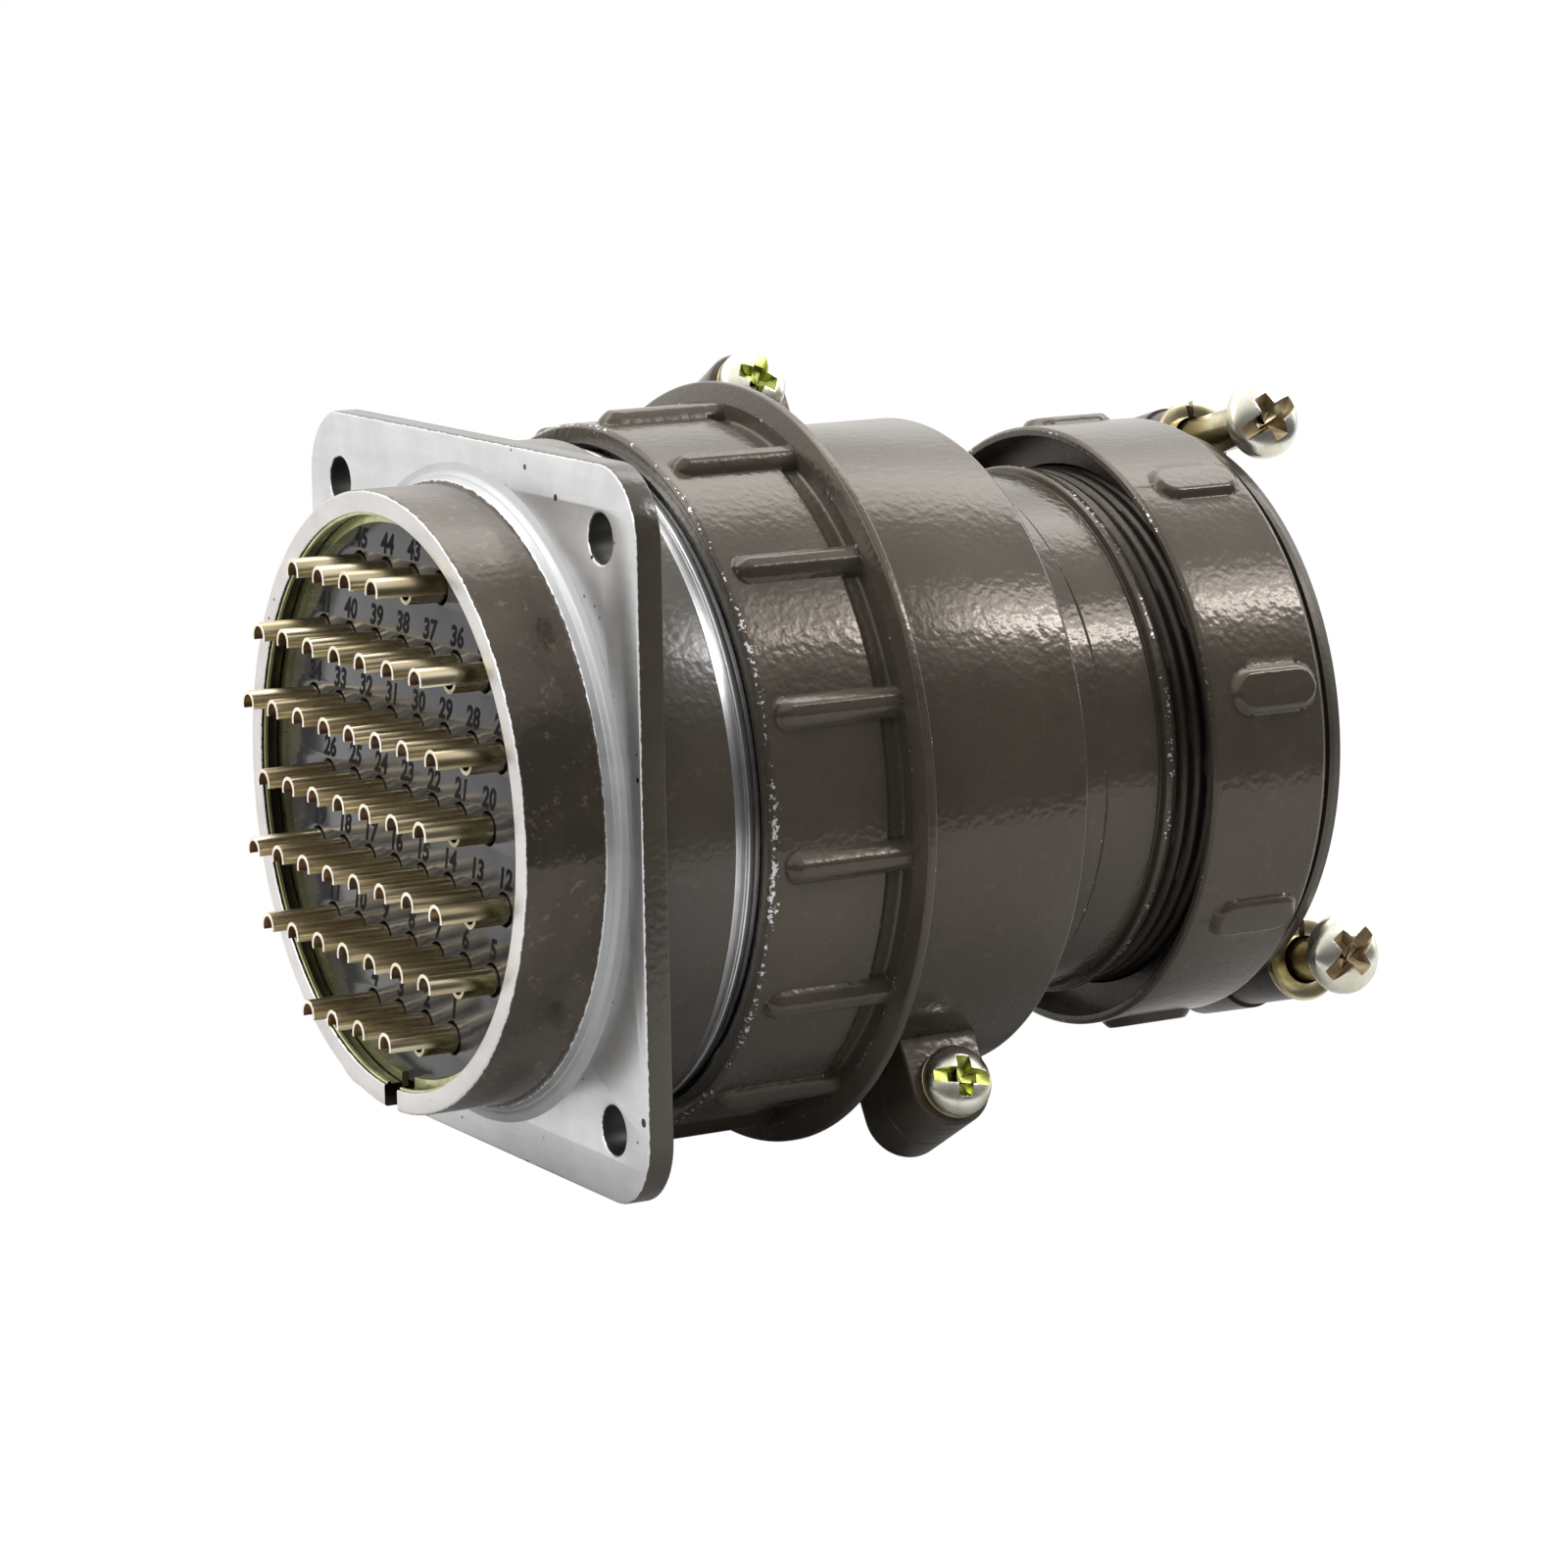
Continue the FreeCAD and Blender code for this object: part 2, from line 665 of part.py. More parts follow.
def make_receptacle_inside():
    """Insert, its contacts, the snap ring that holds it and the seal in front of it."""
    gap = cell("insert_gap")
    blank = turned_body("receptacle_insert_blank", [
        (insert_face, as_size(0)),
        (insert_face, collar_bore - gap),
        (seat_rear, collar_bore - gap),
        (seat_rear, seat_bore - gap),
        (cell("insert_front"), seat_bore - gap),
        (cell("insert_front"), as_size(0)),
    ])[0]
    radius = cell("contact_radius").value
    front = cell("insert_front").value
    hole = radius + cell("contact_gap").value
    past = overrun.value
    perforated("receptacle_insert", blank, insert_face.value - past, front + past, hole)

    tip = insert_face.value - cell("cup_reach").value
    body = rod(radius, tip, front).fuse(rod(cell("pin_radius").value, front,
                                            front + cell("pin_reach").value))
    cup_bore = radius - cell("cup_wall").value
    cup = rod(cup_bore, tip, tip + cell("cup_depth").value)
    scoop_end = tip + cell("cup_scoop").value
    cut = cell("cup_cut").value
    slant = cell("cut_slant").value
    scoop = Part.makePolygon([
        FreeCAD.Vector(tip, -radius, -cut),
        FreeCAD.Vector(scoop_end - slant, -radius, -cut),
        FreeCAD.Vector(scoop_end, -radius, -radius),
        FreeCAD.Vector(tip, -radius, -radius),
        FreeCAD.Vector(tip, -radius, -cut),
    ])
    scoop = Part.Face(scoop).extrude(FreeCAD.Vector(0, 2 * radius, 0))
    contact = body.cut(cup).cut(scoop).removeSplitter()
    grouped("receptacle_contacts", [moved(contact, 0, y, z) for y, z in contact_places()])

    outer = (collar_bore + cell("ring_bite")).value - gap.value
    ring_back = insert_face.value
    ring_front = ring_back - cell("ring_thick").value
    inner = outer - cell("ring_width").value
    ring = split_ring(outer, inner, ring_front, ring_back, cell("ring_gap").value)
    grouped("receptacle_retaining_ring", [ring])

    turned_body("interface_seal", [
        (seat_front, seat_bore + gap),
        (seat_front, barrel_bore - gap),
        (seat_front + cell("seal_thick"), barrel_bore - gap),
        (seat_front + cell("seal_thick"), seat_bore + gap),
    ])


def make_plug_shell():
    """Skirt that enters the barrel, coupling shoulder and the spigot that the backshell grips."""
    skirt, bore, flange = skirt_radius, plug_bore, spigot_rim
    lip = skirt_front + cell("plug_lip_inset")
    ring = plug_ring_place()
    groove = bore + cell("ring_bite")
    shell = turned_body("plug_shell", [
        (skirt_front, bore),
        (skirt_front, skirt - edge),
        (skirt_front + edge, skirt),
        (shoulder_front, skirt),
        (shoulder_front, shoulder_radius),
        (shoulder_back, shoulder_radius),
        (shoulder_back, waist_radius),
        (body_front, waist_radius),
        (body_front, spigot_radius),
        (hook_end + cell("hook_gap"), spigot_radius),
        (hook_end + cell("hook_gap"), flange),
        (spigot_end, flange),
        (spigot_end, bore),
        (ring + cell("ring_thick") + cell("insert_gap"), bore),
        (ring + cell("ring_thick") + cell("insert_gap"), groove),
        (ring, groove),
        (ring, bore),
        (lip + cell("plug_lip"), bore),
        (lip + cell("plug_lip"), bore - cell("plug_lip")),
        (lip, bore - cell("plug_lip")),
        (lip, bore),
    ])[0]
    key = new_sketch(shell, "key", lift=bore + cell("plug_wall") / 2)
    side = cell("key_width") / 2
    add_rectangle(key, (skirt_front + edge, -side), (shoulder_front, side))
    rise = cell("plug_wall") / 2 + cell("skirt_gap") + cell("key_height") - cell("key_gap")
    pad(shell, key, rise)


def plug_insert_front():
    lip = skirt_front + cell("plug_lip_inset")
    return lip + cell("plug_lip") + cell("insert_gap")


def plug_ring_place():
    return plug_insert_front() + cell("plug_insert_length")


def make_plug_inside():
    """The plug's insert, its socket contacts and the snap ring behind it."""
    gap = cell("insert_gap")
    bore = plug_bore
    front = plug_insert_front()
    back = plug_ring_place()
    blank = turned_body("plug_insert_blank", [
        (front, as_size(0)),
        (front, bore - gap),
        (back, bore - gap),
        (back, as_size(0)),
    ])[0]
    radius = cell("contact_radius").value
    hole = radius + cell("contact_gap").value
    past = overrun.value
    perforated("plug_insert", blank, front.value - past, back.value + past, hole)

    start = front.value
    end = start + cell("socket_length").value
    pin_hole = cell("pin_radius").value + cell("pin_gap").value
    socket = rod(radius, start, end)
    pin_tip = cell("insert_front") + cell("pin_reach")
    socket = socket.cut(rod(pin_hole, start, (pin_tip + cell("socket_clear")).value))
    cup_bore = radius - cell("cup_wall").value
    socket = socket.cut(rod(cup_bore, end - cell("cup_depth").value, end))
    grouped("plug_contacts", [moved(socket, 0, y, z) for y, z in contact_places()])

    outer = (bore + cell("ring_bite")).value - gap.value
    inner = outer - cell("ring_width").value
    ring_end = back.value + cell("ring_thick").value
    ring = split_ring(outer, inner, back.value, ring_end, cell("ring_gap").value)
    grouped("plug_retaining_ring", [ring])


def make_coupling_nut():
    """Threaded nut with grip ribs that run back into its raised rear ring."""
    front = bare_end + cell("nut_mouth_gap")
    thread = nut_thread
    ring_front = nut_back - cell("nut_ring_length")
    recess = ring_front - cell("nut_recess_length")
    floor = nut_radius - cell("nut_recess_depth")
    mouth_depth = cell("nut_mouth_step")
    nut, profile = turned_body("coupling_nut", [
        (front, thread + mouth_depth),
        (front + cell("nut_face_cone"), nut_radius),
        (recess, nut_radius),
        (recess, floor),
        (ring_front, floor),
        (ring_front, nut_radius + cell("nut_ring_front_rise")),
        (nut_back - cell("nut_ring_land"), nut_radius + cell("nut_ring_rise")),
        (nut_back, nut_radius + cell("nut_ring_rise")),
        (nut_back, waist_radius + cell("nut_thread_gap")),
        (nut_lip_front, waist_radius + cell("nut_thread_gap")),
        (nut_lip_front, thread),
        (front + mouth_depth, thread),
    ])
    start = front + cell("nut_rib_inset")
    half = cell("nut_rib_width") / 2
    rib = new_sketch(nut, "rib_plan", lift=(thread + floor) / 2)
    add_long_rib(rib, start, ring_front + cell("nut_rib_overrun"), half, False)
    rise = nut_radius + cell("nut_rib_height") - (thread + floor) / 2
    feature = pad(nut, rib, rise)
    polar_copies(nut, feature, profile, cell("nut_ribs"))


def backshell_profile():
    """Half section of the backshell: body, end wall and threaded neck."""
    round_off = cell("body_round")
    wide = body_bore
    hook = spigot_radius + cell("hook_gap")
    seat = neck_end - cell("bushing_length") - cell("gland_washer")
    return [
        (body_front, hook),
        (body_front, body_radius - round_off),
        (body_front + round_off, body_radius),
        (body_end - round_off, body_radius),
        (body_end, body_radius - round_off),
        (body_end, cell("neck_radius")),
        (neck_end - round_off, cell("neck_radius")),
        (neck_end, cell("neck_radius") - round_off),
        (neck_end, neck_bore),
        (seat, neck_bore),
        (seat, neck_bore - cell("bushing_seat")),
        (seat - cell("bushing_seat"), neck_bore - cell("bushing_seat")),
        (seat - cell("bushing_seat") * 2, neck_bore),
        (body_end - cell("end_wall"), neck_bore),
        (body_end - cell("end_wall"), wide),
        (hook_end, wide),
        (hook_end, hook),
    ]


def make_backshell_half(label, depth, hole, backwards):
    """One half of the backshell, on one side of the plane Z = 0, with half of each lug."""
    half = turned_body(label, backshell_profile(), 180.0, backwards)[0]
    root = body_radius - cell("lug_root")
    lugs = new_sketch(half, label + "_lugs")
    bores = new_sketch(half, label + "_holes")
    centre = lug_distance
    add_lug(lugs, lug_place, centre, root, lug_radius, 1)
    add_lug(lugs, lug_place, centre, root, lug_radius, -1)
    pad(half, lugs, depth, backwards)
    add_circle(bores, (lug_place, centre), hole)
    add_circle(bores, (lug_place, -centre), hole)
    pocket(half, bores, depth, not backwards)
    tilt(half, cell("body_tilt"))


def make_backshell():
    """Two halves held together by a screw and a spring washer at each pair of lugs."""
    screw = cell("lug_screw")
    make_backshell_half("backshell_near_half", cell("lug_near"), lug_hole, False)
    make_backshell_half("backshell_far_half", cell("lug_far"), screw + cell("screw_gap"), True)
    near = cell("lug_near").value
    thick = cell("lug_washer").value
    reach = near + thick + cell("lug_far").value * LUG_THREAD_SHARE
    head = lug_head.value
    one_screw = pan_screw(head, cell("lug_head_height").value, screw.value, reach)
    one_washer = spring_washer(head, lug_hole.value, thick)
    across = lug_place.value
    away = lug_distance.value
    screws = [moved(one_screw, across, side * away, near + thick) for side in (1, -1)]
    washers = [moved(one_washer, across, side * away, near) for side in (1, -1)]
    tilt(grouped("backshell_screws", screws), cell("body_tilt"))
    tilt(grouped("backshell_spring_washers", washers), cell("body_tilt"))


def make_cable_seal():
    """Rubber bushing in the neck, with the metal washer that presses on it."""
    gap = cell("bushing_gap")
    outer = neck_bore - gap
    seat = neck_end - cell("bushing_length") - cell("gland_washer")
    bushing_end = seat + cell("bushing_length")
    turned_body("cable_bushing", [
        (seat, cell("cable_radius")),
        (seat, outer),
        (bushing_end, outer),
        (bushing_end, cell("cable_radius")),
    ])
    turned_body("gland_washer", [
        (bushing_end, cell("cable_radius") + gap),
        (bushing_end, outer),
        (neck_end, outer),
        (neck_end, cell("cable_radius") + gap),
    ])


def make_rear_nut():
    """Ring nut on the neck's thread, with closed grip ribs and a lip that holds the clamp."""
    bevel = cell("rear_nut_bevel")
    thread = rear_thread
    nut, profile = turned_body("rear_ring_nut", [
        (rear_nut_front, rear_mouth_radius),
        (rear_nut_front, rear_nut_edge),
        (rear_nut_front + bevel, rear_nut_radius),
        (rear_nut_back - bevel, rear_nut_radius),
        (rear_nut_back, rear_nut_edge),
        (rear_nut_back, rear_lip_radius),
        (rear_lip_front, rear_lip_radius),
        (rear_lip_front, thread),
        (rear_nut_front + cell("rear_mouth_depth"), thread),
        (rear_nut_front + cell("rear_mouth_depth"), rear_mouth_radius),
    ])
    floor = (thread + rear_nut_radius) / 2
    start = rear_nut_front + cell("rear_rib_inset")
    half = cell("rear_rib_width") / 2
    rib = new_sketch(nut, "rib_plan", lift=floor)
    add_long_rib(rib, start, start + cell("rear_rib_length"), half, True)
    rise = rear_nut_radius + cell("rear_rib_height") - floor
    feature = pad(nut, rib, rise)
    polar_copies(nut, feature, profile, cell("rear_ribs"))
    tilt(nut, cell("rear_rib_turn"))

    turned_body("slip_washer", [
        (slip_front, rear_lip_radius + cell("rear_thread_gap")),
        (slip_front, thread - cell("rear_thread_gap")),
        (slip_back, thread - cell("rear_thread_gap")),
        (slip_back, rear_lip_radius + cell("rear_thread_gap")),
    ])


def make_clamp():
    """Hub that turns inside the rear nut, with the clamp's base fixed on its end."""
    hub = hub_radius
    inner = hub - cell("hub_wall")
    spigot = hub - cell("hub_wall") / 2
    turned_body("clamp_hub", [
        (hub_flange_front, inner),
        (hub_flange_front, rear_thread - cell("hub_flange_gap")),
        (hub_flange_back, rear_thread - cell("hub_flange_gap")),
        (hub_flange_back, hub),
        (clamp_ring_front, hub),
        (clamp_ring_front, spigot),
        (clamp_ring_back, spigot),
        (clamp_ring_back, inner),
    ])

    lug = clamp_lug
    reach = clamp_reach
    bore = clamp_bore
    top = cell("base_top")
    width = clamp_back - clamp_ring_back
    arch = bore + cell("arch_wall")
    base = turned_body("clamp_base", [
        (clamp_ring_front, spigot),
        (clamp_ring_front, clamp_ring_radius - edge),
        (clamp_ring_front + edge, clamp_ring_radius),
        (clamp_ring_back, clamp_ring_radius),
        (clamp_ring_back, base_plate_radius),
        (base_plate_back, base_plate_radius),
        (base_plate_back, bore),
        (clamp_ring_back, bore),
        (clamp_ring_back, spigot),
    ])[0]
    bar = new_sketch(base, "base_bar", lift=top - cell("base_bar_depth"))
    add_round_bar(bar, clamp_place, -reach, reach, clamp_washer_radius)
    pad(base, bar, cell("base_bar_depth"))
    lugs = new_sketch(base, "base_lugs", lift=top - cell("base_lug_depth"))
    add_circle(lugs, (clamp_place, reach), clamp_washer_radius)
    add_circle(lugs, (clamp_place, -reach), clamp_washer_radius)
    pad(base, lugs, cell("base_lug_depth"))
    trough = new_sketch(base, "base_trough", "YZ_Plane", lift=clamp_ring_back)
    add_half_round(trough, arch, top, -1)
    pad(base, trough, width)
    passage = new_sketch(base, "base_passage", "YZ_Plane", lift=clamp_ring_back)
    add_circle(passage, (0, 0), bore)
    pocket(base, passage, width, True)
    holes = new_sketch(base, "base_holes", lift=top)
    tapped = cell("clamp_screw") + cell("screw_gap")
    add_circle(holes, (clamp_place, reach), tapped)
    add_circle(holes, (clamp_place, -reach), tapped)
    pocket(base, holes, cell("clamp_screw_depth") + overrun)
    tilt(base, cell("clamp_tilt"))

    under = top + cell("saddle_gap")
    saddle_front = base_plate_back + cell("saddle_gap")
    saddle_back = clamp_place + lug
    saddle = new_body("clamp_saddle")
    ends = new_sketch(saddle, "saddle_lugs", lift=under)
    add_circle(ends, (clamp_place, reach), lug)
    add_circle(ends, (clamp_place, -reach), lug)
    pad(saddle, ends, cell("saddle_high_top") - under)
    bar = new_sketch(saddle, "saddle_bar", lift=under)
    add_rectangle(bar, (saddle_front, -reach), (saddle_back, reach))
    pad(saddle, bar, cell("saddle_high_top") - under)
    tall = new_sketch(saddle, "saddle_tall_lug", lift=under)
    add_circle(tall, (clamp_place, -reach), lug)
    pad(saddle, tall, cell("saddle_low_top") - under)
    bridge = new_sketch(saddle, "saddle_bridge", "YZ_Plane", lift=saddle_front)
    add_half_round(bridge, arch, under, 1)
    pad(saddle, bridge, saddle_back - saddle_front)
    passage = new_sketch(saddle, "saddle_passage", "YZ_Plane", lift=saddle_front)
    add_circle(passage, (0, 0), bore)
    pocket(saddle, passage, saddle_back - saddle_front, True)
    holes = new_sketch(saddle, "saddle_holes", lift=under)
    add_circle(holes, (clamp_place, reach), clamp_hole)
    add_circle(holes, (clamp_place, -reach), clamp_hole)
    pocket(saddle, holes, cell("saddle_low_top"), True)
    tilt(saddle, cell("clamp_tilt"))

    place = clamp_place.value
    away = reach.value
    washer_top = cell("saddle_low_top") + cell("clamp_washer")
    head_base = (washer_top + cell("clamp_slack")).value
    shank = head_base - top.value + cell("clamp_screw_depth").value
    screw = pan_screw(clamp_head.value, cell("clamp_head_height").value,
                      cell("clamp_screw").value, shank)
    screws = [moved(screw, place, side * away, head_base) for side in (1, -1)]
    tilt(grouped("clamp_screws", screws), cell("clamp_tilt"))
    washer = spring_washer(clamp_washer_radius.value, clamp_hole.value,
                           cell("clamp_washer").value)
    washers = [moved(washer, place, away, cell("saddle_high_top").value),
               moved(washer, place, -away, cell("saddle_low_top").value)]
    tilt(grouped("clamp_spring_washers", washers), cell("clamp_tilt"))


make_receptacle_shell()
make_receptacle_inside()
make_plug_shell()
make_plug_inside()
make_coupling_nut()
make_backshell()
make_cable_seal()
make_rear_nut()
make_clamp()
doc.recompute()

for thing in doc.Objects:
    if "Invalid" in thing.State or "Error" in thing.State:
        raise RuntimeError(f"{thing.Label} failed: {thing.State}")
for piece in sub_parts:
    if piece.Shape.isNull() or not piece.Shape.isValid():
        raise RuntimeError(f"{piece.Label} has no valid shape")
for piece in sub_parts:
    piece.Shape.exportStep(f"parts/{piece.Label}.step")
    print(piece.Label, len(piece.Shape.Solids), round(piece.Shape.Volume, 1))
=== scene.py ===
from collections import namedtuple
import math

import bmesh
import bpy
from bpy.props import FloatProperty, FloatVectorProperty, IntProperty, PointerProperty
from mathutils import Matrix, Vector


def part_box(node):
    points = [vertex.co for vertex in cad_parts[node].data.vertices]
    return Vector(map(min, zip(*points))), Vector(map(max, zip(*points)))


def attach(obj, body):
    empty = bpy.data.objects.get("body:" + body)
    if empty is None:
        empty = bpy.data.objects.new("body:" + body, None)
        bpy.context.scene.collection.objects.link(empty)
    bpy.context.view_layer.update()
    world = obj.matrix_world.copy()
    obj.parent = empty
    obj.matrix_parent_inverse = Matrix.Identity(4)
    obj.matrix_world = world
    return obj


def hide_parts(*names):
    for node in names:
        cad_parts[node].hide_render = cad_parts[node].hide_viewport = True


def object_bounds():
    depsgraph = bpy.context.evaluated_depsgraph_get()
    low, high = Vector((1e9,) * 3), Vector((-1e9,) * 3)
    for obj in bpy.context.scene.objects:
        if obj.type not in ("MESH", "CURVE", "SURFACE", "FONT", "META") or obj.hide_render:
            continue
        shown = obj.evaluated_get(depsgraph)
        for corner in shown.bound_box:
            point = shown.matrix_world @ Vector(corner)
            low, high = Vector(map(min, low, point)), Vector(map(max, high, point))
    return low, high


bl_info = {
    "name": "Circular connector",
    "version": (1, 0, 0),
    "blender": (4, 5, 0),
    "location": "3D View > Sidebar > Connector",
    "description": "Detailed pieces and finishes of a circular multi-pole connector",
    "category": "Object",
}

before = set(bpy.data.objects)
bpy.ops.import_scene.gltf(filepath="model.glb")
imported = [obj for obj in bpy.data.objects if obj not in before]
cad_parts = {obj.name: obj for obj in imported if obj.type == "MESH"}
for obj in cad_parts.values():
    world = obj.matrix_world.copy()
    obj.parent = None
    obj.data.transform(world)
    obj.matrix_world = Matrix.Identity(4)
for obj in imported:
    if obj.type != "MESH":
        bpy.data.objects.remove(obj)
CAD_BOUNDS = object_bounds()

# Lengths below are millimetres until a mesh is made, and angles are degrees.
MM = 0.001
FULL_TURN = 360.0
# Radius of a turned piece at its axis, small enough for the points there to merge into one.
POLE = 0.0004
# Points nearer than this are merged: in any piece, between a nut's sectors and in a carried solid.
DOUBLES = 0.002
SECTOR_DOUBLES = 0.004
CARRIED_DOUBLES = 0.001
# Two places this near count as the same.
NEARLY = 0.001
# An edge is sharp where its faces meet at more than this, in a piece made here and in a carried one.
SHARP_EDGE = 38.0
CARRIED_EDGE = 28.0
# An arc takes up no more than this share of the sides that it rounds.
ARC_SHARE = 0.49
# A stretch of a nut's outside at least this long carries its ribs.
LONG_STRETCH = 3.0
# How far a cutter reaches past what it cuts.
CLEAR = 1.0

# Steps round the axis
COLLAR_STEPS = 240
BARREL_STEPS = 192
INSERT_STEPS = 160
HALF_STEPS = 110
SCREW_STEPS = 72
CONTACT_STEPS = 28


def extent(node, axis=0):
    """Lowest and highest place of a node along one axis, in millimetres."""
    low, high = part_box(node)
    return low[axis] / MM, high[axis] / MM


# Places along the axis, from the frame.
COLLAR_RIM, RECEPTACLE_END = extent("receptacle_shell")
INSERT_FACE, INSERT_END = extent("receptacle_insert")
CONTACT_TIP, PIN_TIP = extent("receptacle_contacts")
NUT_FRONT, NUT_BACK = extent("coupling_nut")
BODY_FRONT, NECK_END = extent("backshell_near_half")
REAR_NUT_FRONT, REAR_NUT_BACK = extent("rear_ring_nut")
NUT_RING_RADIUS = extent("coupling_nut", 2)[1]
FLANGE_SIDE = extent("receptacle_shell", 1)[1] * 2

# Receptacle
FLANGE_THICK = 2.5
FLANGE_CORNER = 6.5
FLANGE_BEVEL = 0.28
MOUNT_PITCH = 52.0
MOUNT_HOLE = 2.2
COLLAR_RADIUS = 28.2
COLLAR_BORE = 26.15
FOOT_RADIUS = 29.6
FOOT_LENGTH = 1.5
LAND_PLACE = 1.9
LAND_RISE = 0.2
LAND_WIDTH = 0.3
SNAP_DEPTH = 0.6
SNAP_WIDTH = 0.75
NOTCH_WIDTH = 2.6
NOTCH_DEPTH = 3.0
BARREL_RADIUS = 31.45
BARREL_END = 9.8
BARE_RADIUS = 30.6
BARE_END = 12.3
RELIEF_RADIUS = 29.3
RELIEF_END = 12.9
THREAD_RADIUS = 30.0
THREAD_DEPTH = 0.7
COUPLING_LEAD = 3.0
COUPLING_STARTS = 2
BARREL_BORE = 26.5
SEAT_BORE = 24.5
SEAT_FRONT = 3.0
SEAT_REAR = -0.5
INSERT_GAP = 0.15
INSERT_BEVEL = 0.1
CONTACT_ROWS = (4, 7, 8, 7, 8, 7, 4)
CONTACT_PITCH = 5.42
CONTACT_ROW = 6.76
CONTACT_RADIUS = 1.3
CONTACT_HOLE = 1.55
CUP_BORE = 0.94
CUP_DEPTH = 4.6
SCOOP_LENGTH = 3.3
SCOOP_LEVEL = -0.35
PIN_RADIUS = 0.75
LEAN_SEED = 7
NUMERAL_ACROSS = -0.3
NUMERAL_UP = 2.7
NUMERAL_RAISE = 0.015
NUMERAL_WEIGHT = 0.1
NUMERAL_SLANT = 0.25

# Coupling nut
NUT_RADIUS = 32.6
NUT_THREAD = 30.3
NUT_MOUTH = 30.85
NUT_LIP_BORE = 27.9
NUT_LIP = 1.0
NUT_RING_LENGTH = 1.5
NUT_RING_FRONT = 33.7
NUT_RECESS = 1.6
NUT_RIB_WIDTH = 3.0
NUT_RIB_HEIGHT = 1.15
NUT_RIB_PLACE = 1.3
NUT_RIB_TURN = 90.0

# Backshell
BODY_RADIUS = 30.8
BODY_END = 46.7
BODY_BORE = 28.3
BODY_WALL = 2.2
BODY_TILT = 59.6
HOOK_BORE = 26.7
HOOK_END = 36.2
NECK_RADIUS = 24.9
NECK_BORE = 22.5
BUSHING_SEAT = 9.6
BUSHING_STEP = 3.2
NECK_THREAD_START = 58.4
NECK_CREST = 0.45
NECK_STEP = 0.5
NECK_STEP_LENGTH = 5.6
NECK_THREAD_DEPTH = 0.75
NECK_LEAD = 1.5
LUG_RADIUS = 4.1
LUG_TIP = 39.0
LUG_DISTANCE = 35.2
LUG_PLACE = 36.7
LUG_NEAR = 5.6
LUG_FAR = 5.0
LUG_BORE = 1.6
LUG_SOFT_NEAR = 0.35
LUG_SOFT_FAR = 1.2

# Rear nut and clamp
REAR_NUT_RADIUS = 28.9
REAR_NUT_EDGE = 28.1
REAR_NUT_BEVEL = 0.8
REAR_FRONT_EDGE = 28.6
REAR_FRONT_BEVEL = 0.3
REAR_MOUTH_RADIUS = 28.0
REAR_MOUTH_DEPTH = 3.0
REAR_THREAD = 25.2
REAR_LIP = 1.3
REAR_LIP_BORE = 20.5
REAR_RIB_WIDTH = 4.4
REAR_RIB_HEIGHT = 0.75
REAR_RIB_START = 64.0
REAR_RIB_END = 73.4
REAR_RIB_TURN = 76.5
REAR_FLANK_SHARE = 0.6
CLAMP_RING_RADIUS = 27.6
CLAMP_RING_BACK = 76.7
CLAMP_TILT = 75.1
CLAMP_PLACE = 80.5
CLAMP_DISTANCE = 25.8
SADDLE_TOP = 4.0
BASE_TOP = 9.5

# Screws, along their own axis, with their washers
Screw = namedtuple("Screw", "tilt place distance head height base shank length "
                            "washer washer_bore washer_thick recess")
LUG_SCREW = Screw(
    tilt=BODY_TILT, place=LUG_PLACE, distance=LUG_DISTANCE, head=3.3, height=2.2, base=LUG_NEAR + 0.7,
    shank=1.5, length=10.3, washer=3.3, washer_bore=1.7, washer_thick=0.55, recess="green_recess")
CLAMP_SCREW = Screw(
    tilt=CLAMP_TILT, place=CLAMP_PLACE, distance=CLAMP_DISTANCE, head=3.8, height=2.6, base=16.0,
    shank=2.0, length=19.4, washer=3.9, washer_bore=2.3, washer_thick=0.8, recess="brown_recess")
HEAD_BEVEL = 0.07
# The drive of a screw: a cross with a wider groove through it. Sizes are shares of the head's radius,
# and a taper is the width of the floor beside the width at the top.
DRIVE_WING = 0.27
DRIVE_REACH = 0.78
DRIVE_DEPTH = 0.36
DRIVE_TAPER = 0.42
GROOVE_DEPTH = 0.24
GROOVE_TAPER = 0.6

# Tones that no setting changes
WHITE = (1.0, 1.0, 1.0, 1.0)
STUDIO_WHITE = (1.0, 0.99, 0.975, 1.0)
FLOOR_GREY = (0.50, 0.50, 0.50, 1.0)
PAINT_SHEEN = (1.0, 0.87, 0.77, 1.0)
DUST_TONE = (0.20, 0.15, 0.11, 1.0)
PIT_TONE = (0.05, 0.045, 0.04, 1.0)
PAINT_THICK = 0.1

# Stage: the camera and the floor in millimetres, the lights in metres
CAMERA_LENS = 119.7
CAMERA_PLACE = (-206.46, -416.93, 84.34)
CAMERA_RIGHT = (0.86589, -0.49997, -0.01666)
CAMERA_UP = (0.10318, 0.14593, 0.98391)
FLOOR_RADIUS = 420.0
FLOOR_CENTRE = (30.0, 270.0)
FLOOR_GAP = 0.2
LIGHT_AIM = (0.05, 0.0, 0.0)
KEY_ROW = (0.0, -0.342, 0.396)
GLOW_ROW = (0.0, -0.286, 0.438)
# Each light's row, where it starts and ends along the axis, its width and its share of the power
SOFT_BOXES = (
    ("key_front", KEY_ROW, 0.275, 0.375, 0.036, 0.09),
    ("key_rear", KEY_ROW, 0.375, 0.60, 0.036, 0.75),
    ("glow_front", GLOW_ROW, 0.275, 0.375, 0.10, 0.07),
    ("glow_rear", GLOW_ROW, 0.375, 0.60, 0.10, 0.35),
)


